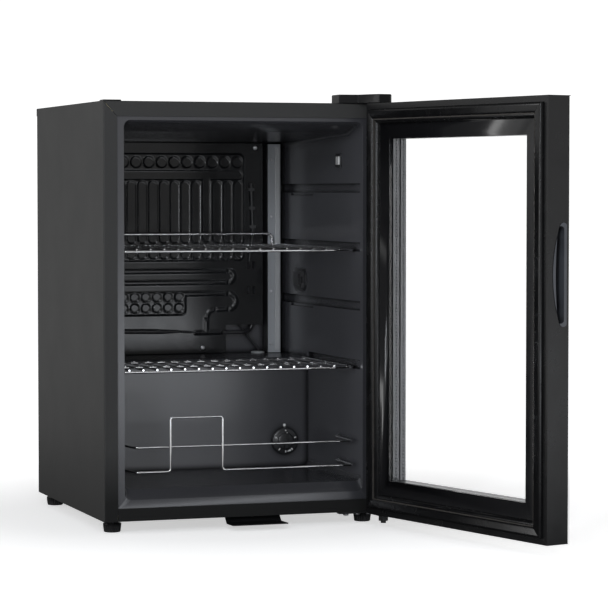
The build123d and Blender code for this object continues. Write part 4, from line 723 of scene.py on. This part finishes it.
def dial_piece(body_material, print_material):
    """Knob with a domed skirt, a waisted pointer grip and printed marks round its rim."""
    centre = (KNOB_LOW + KNOB_HIGH) / 2
    back_y = KNOB_HIGH.y
    radius = (KNOB_HIGH.x - KNOB_LOW.x) / 2
    front = Vector((centre.x, back_y, centre.z))
    r = radius / MM
    skirt = [(r - 0.3, 0.0, 0), (r, 0.5, 0), (r, 3.2, 1), (r - 0.4, 4.4, 0), (r - 1.6, 5.4, 0),
             (r - 3.4, 5.9, 0), (r - 7.6, 6.0, 0), (r - 8.4, 6.3, 0), (r - 9.0, 7.2, 0),
             (r - 9.8, 7.9, 0), (r - 11.0, 8.1, 0), (2.0, 8.3, 0)]
    profile = [(a * MM, b * MM, rib) for a, b, rib in skirt]
    bm = lathe(profile, front, (0, -1, 0), 96, 0.35 * MM, 32)
    grip = [(-3.6, -12.0), (3.6, -12.0), (3.3, -4.0), (2.2, 4.0), (1.9, 14.2), (0.0, 16.2),
            (-1.9, 14.2), (-2.2, 4.0), (-3.3, -4.0)]
    tall = (KNOB_HIGH.y - KNOB_LOW.y) / MM
    levels = [(7.0, 1.15, 1.0), (tall - 0.8, 1.0, 0.97), (tall, 0.7, 0.92)]     # height, x scale, z scale
    rings = [[bm.verts.new((centre.x + x * wide * MM, back_y - height * MM, centre.z + z * long * MM))
              for x, z in grip] for height, wide, long in levels]
    for a, b in zip(rings, rings[1:]):
        for i in range(len(grip)):
            j = (i + 1) % len(grip)
            bm.faces.new((a[i], a[j], b[j], b[i]))
    bm.faces.new(list(reversed(rings[0])))
    bm.faces.new(rings[-1])
    piece = new_piece("thermostat_dial", mesh_from(bm, "thermostat_dial"), "dial", body_material, 32.0)
    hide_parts("thermostat_knob")

    marks = bmesh.new()
    face_y = back_y - 5.92 * MM
    mark_r = radius - 4.9 * MM
    for angle in (-71.0, 71.0, -141.0, 141.0, 180.0):
        bar_mark(marks, centre, mark_r, angle, face_y, 1.7 * MM, 0.75 * MM)
    round_mark(marks, dial_angle_point(centre, mark_r, 0.0, face_y), 1.15 * MM)
    wedge_mark(marks, centre, mark_r, 150.0, 172.0, face_y, 1.5 * MM)
    round_mark(marks, dial_angle_point(centre, 2.0 * MM, 0.0, KNOB_LOW.y + 0.02 * MM)
               + Vector((0, 0, 11.5 * MM)), 0.7 * MM)
    new_piece("dial_marks", mesh_from(marks, "dial_marks"), "dial", print_material)

    dot = bmesh.new()
    index = Vector((centre.x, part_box("thermostat_body")[0].y, centre.z + 24.6 * MM))
    panel_y = KNOB_HIGH.y + 0.6 * MM
    round_mark(dot, Vector((index.x, panel_y, index.z)), 2.3 * MM)
    new_piece("dial_index_dot", mesh_from(dot, "dial_index_dot"), "cabinet", print_material)


def prism_y(bm, points, y, thickness=PRINT_T):
    """Thin closed slab of print, standing proud of a face that looks to the front."""
    front = [bm.verts.new((p.x, y - thickness, p.z)) for p in points]
    back = [bm.verts.new((p.x, y + thickness, p.z)) for p in points]
    bm.faces.new(front)
    bm.faces.new(list(reversed(back)))
    for i in range(len(points)):
        j = (i + 1) % len(points)
        bm.faces.new((front[i], back[i], back[j], front[j]))


def round_mark(bm, centre, radius, sides=20):
    points = [dial_angle_point(centre, radius, 360.0 * k / sides, centre.y) for k in range(sides)]
    prism_y(bm, points, centre.y)


def bar_mark(bm, centre, radius, angle_deg, y, half_long, half_wide):
    a = math.radians(angle_deg)
    out = Vector((math.sin(a), 0, math.cos(a)))
    side = Vector((math.cos(a), 0, -math.sin(a)))
    mid = Vector((centre.x, y, centre.z)) + out * radius
    prism_y(bm, [mid + out * half_long + side * half_wide, mid + out * half_long - side * half_wide,
                 mid - out * half_long - side * half_wide, mid - out * half_long + side * half_wide], y)


def wedge_mark(bm, centre, radius, start_deg, end_deg, y, half_wide):
    """Arc that swells from a point to its full width: cooler to colder."""
    steps = 10
    outer, inner = [], []
    for k in range(steps + 1):
        t = k / steps
        angle = start_deg + (end_deg - start_deg) * t
        swell = half_wide * (0.15 + 0.85 * (1.0 - t))
        outer.append(dial_angle_point(centre, radius + swell, angle, y))
        inner.append(dial_angle_point(centre, radius - swell, angle, y))
    prism_y(bm, outer + list(reversed(inner)), y)


# ================================================================== feet
def foot_piece(name, node, body, material):
    """Moulded foot with vertical ribs; the body under the cabinet tapers to the floor."""
    low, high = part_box(node)
    groups = [(low.x + high.x) / 2]
    if high.x - low.x > FOOT_PAIR_W:
        groups = [low.x + FOOT_R, high.x - FOOT_R]
    bm = bmesh.new()
    stem = 4.0 * MM if high.z > 0.03 else 10.0 * MM
    for x in groups:
        base = Vector((x, (low.y + high.y) / 2, low.z))
        profile = [(9.0, 0.0, 0), (10.6, 0.0, 0), (11.8, 0.5, 0), (12.2, 1.2, 1), (13.1, 8.0, 1),
                   (13.4, 11.4, 1), (13.5, 12.2, 0), (13.1, 13.0, 0), (10.0, 13.2, 0)]
        rings = [(a * MM, b * MM, rib) for a, b, rib in profile]
        rings += [(stem, 13.3 * MM, 0), (stem, high.z - low.z, 0)]
        part = lathe(rings, base, (0, 0, 1), 144, 0.9 * MM, 24)
        mesh = bpy.data.meshes.new("part")
        part.to_mesh(mesh)
        part.free()
        bm.from_mesh(mesh)
        bpy.data.meshes.remove(mesh)
    piece = new_piece(name, mesh_from(bm, name), body, material, 35.0)
    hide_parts(node)


# ================================================================== studio
def seen_or_lit(tree, seen, lit):
    """Mixes one shader for what the camera sees, even through glass, and one for all other rays."""
    path = tree.nodes.new("ShaderNodeLightPath")
    either = tree.nodes.new("ShaderNodeMath")
    either.operation = "MAXIMUM"
    tree.links.new(path.outputs["Is Camera Ray"], either.inputs[0])
    tree.links.new(path.outputs["Is Transmission Ray"], either.inputs[1])
    mix = tree.nodes.new("ShaderNodeMixShader")
    tree.links.new(either.outputs["Value"], mix.inputs["Fac"])
    tree.links.new(lit, mix.inputs[1])
    tree.links.new(seen, mix.inputs[2])
    return mix.outputs["Shader"]


def ramp_of(tree, socket, stops):
    """Grey ramp through (position, value) stops."""
    ramp = tree.nodes.new("ShaderNodeValToRGB")
    while len(ramp.color_ramp.elements) < len(stops):
        ramp.color_ramp.elements.new(0.5)
    for element, (position, value) in zip(ramp.color_ramp.elements, stops):
        element.position = position
        element.color = (value, value, value, 1.0)
    tree.links.new(socket, ramp.inputs["Fac"])
    return ramp.outputs["Color"]


def surround_light(tree):
    """White to the eye; as a light it glows round the horizon and is dim above."""
    white = tree.nodes["Background"]
    white.inputs["Color"].default_value = WHITE
    white.inputs["Strength"].default_value = 1.12
    dim = tree.nodes.new("ShaderNodeBackground")
    coord = tree.nodes.new("ShaderNodeTexCoord")
    split = tree.nodes.new("ShaderNodeSeparateXYZ")
    tree.links.new(coord.outputs["Generated"], split.inputs["Vector"])
    lift = tree.nodes.new("ShaderNodeMapRange")
    lift.inputs["From Min"].default_value = -1.0
    tree.links.new(split.outputs["Z"], lift.inputs["Value"])
    glow = ramp_of(tree, lift.outputs["Result"],
                   [(0.0, 0.06), (0.49, 0.08), (0.505, 0.62), (0.58, 0.46), (0.68, 0.14), (1.0, 0.07)])
    tree.links.new(glow, dim.inputs["Color"])
    out = next(n for n in tree.nodes if n.type == "OUTPUT_WORLD")
    surround = seen_or_lit(tree, white.outputs["Background"], dim.outputs["Background"])
    tree.links.new(surround, out.inputs["Surface"])


def floor_material():
    """White to the eye but for soft shadows; as a light it is dark near the piece and pale far off."""
    finish = Finish("studio_floor", (0.93, 0.93, 0.93), 0.8, specular=0.1)
    finish.mottle(3.0, 0.01).grain(200.0, 0.02)
    tree = finish.tree
    length = finish.node("ShaderNodeVectorMath")
    length.operation = "LENGTH"
    finish.link(finish.place(), length.inputs[0])
    reach = finish.math("DIVIDE", length.outputs["Value"], FLOOR_REACH)
    finish.bsdf.inputs["Emission Color"].default_value = WHITE
    near = ramp_of(tree, reach, [(0.08, 0.55), (0.22, 0.95)])
    finish.link(near, finish.bsdf.inputs["Emission Strength"])
    dull = finish.node("ShaderNodeBsdfPrincipled")
    dull.inputs["Base Color"].default_value = (0.05, 0.05, 0.05, 1.0)
    dull.inputs["Roughness"].default_value = 0.9
    dull.inputs["Emission Color"].default_value = WHITE
    far = ramp_of(tree, reach, [(0.16, 0.0), (0.30, 0.30), (0.45, 0.50), (0.7, 0.62)])
    finish.link(far, dull.inputs["Emission Strength"])
    out = next(n for n in tree.nodes if n.type == "OUTPUT_MATERIAL")
    finish.link(seen_or_lit(tree, finish.bsdf.outputs["BSDF"], dull.outputs["BSDF"]), out.inputs["Surface"])
    return finish.material


def studio():
    """Pale floor, white surround and soft boxes to the left, in front and above."""
    bpy.context.scene.view_settings.view_transform = "Standard"
    world = bpy.data.worlds.new("white_surround")
    bpy.context.scene.world = world
    world.use_nodes = True
    surround_light(world.node_tree)
    bm = bmesh.new()
    bmesh.ops.create_grid(bm, x_segments=2, y_segments=2, size=12.0)
    floor = bpy.data.objects.new("floor", mesh_from(bm, "floor"))
    floor.data.materials.append(floor_material())
    bpy.context.scene.collection.objects.link(floor)

    target = Vector((0.0, 0.0, 0.32))
    soft_box("side", Vector((-2.9, -0.1, 0.8)), target, 1.4, 1.4, 20.0)
    soft_box("strip", Vector((-1.75, -3.2, 1.25)), target, 0.26, 2.0, 36.0, COOL)
    soft_box("low_card", Vector((0.66, -1.9, 0.05)), Vector((0.0, 0.0, 0.25)), 1.5, 0.34, 5.0, COOL)
    soft_box("front", Vector((-0.6, -3.6, 1.9)), target, 0.8, 0.8, 14.0, COOL)
    soft_box("top", Vector((0.3, -0.2, 3.0)), target, 1.6, 1.6, 6.0)


def soft_box(name, place, target, wide, high, power, color=(1.0, 1.0, 1.0)):
    data = bpy.data.lights.new(name, "AREA")
    data.shape = "RECTANGLE"
    data.size = wide
    data.size_y = high
    data.energy = power
    data.color = color
    lamp = bpy.data.objects.new(name, data)
    lamp.location = place
    lamp.rotation_euler = (target - place).to_track_quat("-Z", "Y").to_euler()
    bpy.context.scene.collection.objects.link(lamp)


def camera():
    """Long lens, slightly above the floor's level, to the left of the open front."""
    data = bpy.data.cameras.new("camera")
    data.lens = LENS
    data.sensor_width = SENSOR
    data.clip_end = 100.0
    cam = bpy.data.objects.new("camera", data)
    cam.location = CAMERA_AT
    cam.rotation_euler = (math.radians(90.0 - CAMERA_DOWN), 0.0, math.radians(CAMERA_TURN))
    bpy.context.scene.collection.objects.link(cam)
    bpy.context.scene.camera = cam


# ================================================================== build
MATERIALS = plain_finishes()
MATERIALS["clear_glass"] = glass_finish()
dress_cad_nodes(MATERIALS)
gasket_piece(MATERIALS["gasket_rubber"])
glass_print_piece(MATERIALS["glass_print"])
inner_spacer = spacer_piece("spacer_inner_gap", 12.02 * MM, 23.3 * MM, MATERIALS["brushed_aluminium"])
spacer_piece("spacer_outer_gap", 26.3 * MM, 36.0 * MM, MATERIALS["brushed_aluminium"])
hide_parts("glass_spacers")
evaporator_piece(MATERIALS["plate_paint"])
dial_piece(MATERIALS["knob_plastic"], MATERIALS["dial_print"])
foot_piece("foot_front_left", "front_left_foot", "foot_left", MATERIALS["foot_plastic"])
foot_piece("foot_front_right", "front_right_foot", "foot_right", MATERIALS["foot_plastic"])
foot_piece("feet_rear", "rear_feet", "cabinet", MATERIALS["foot_plastic"])
studio()
camera()
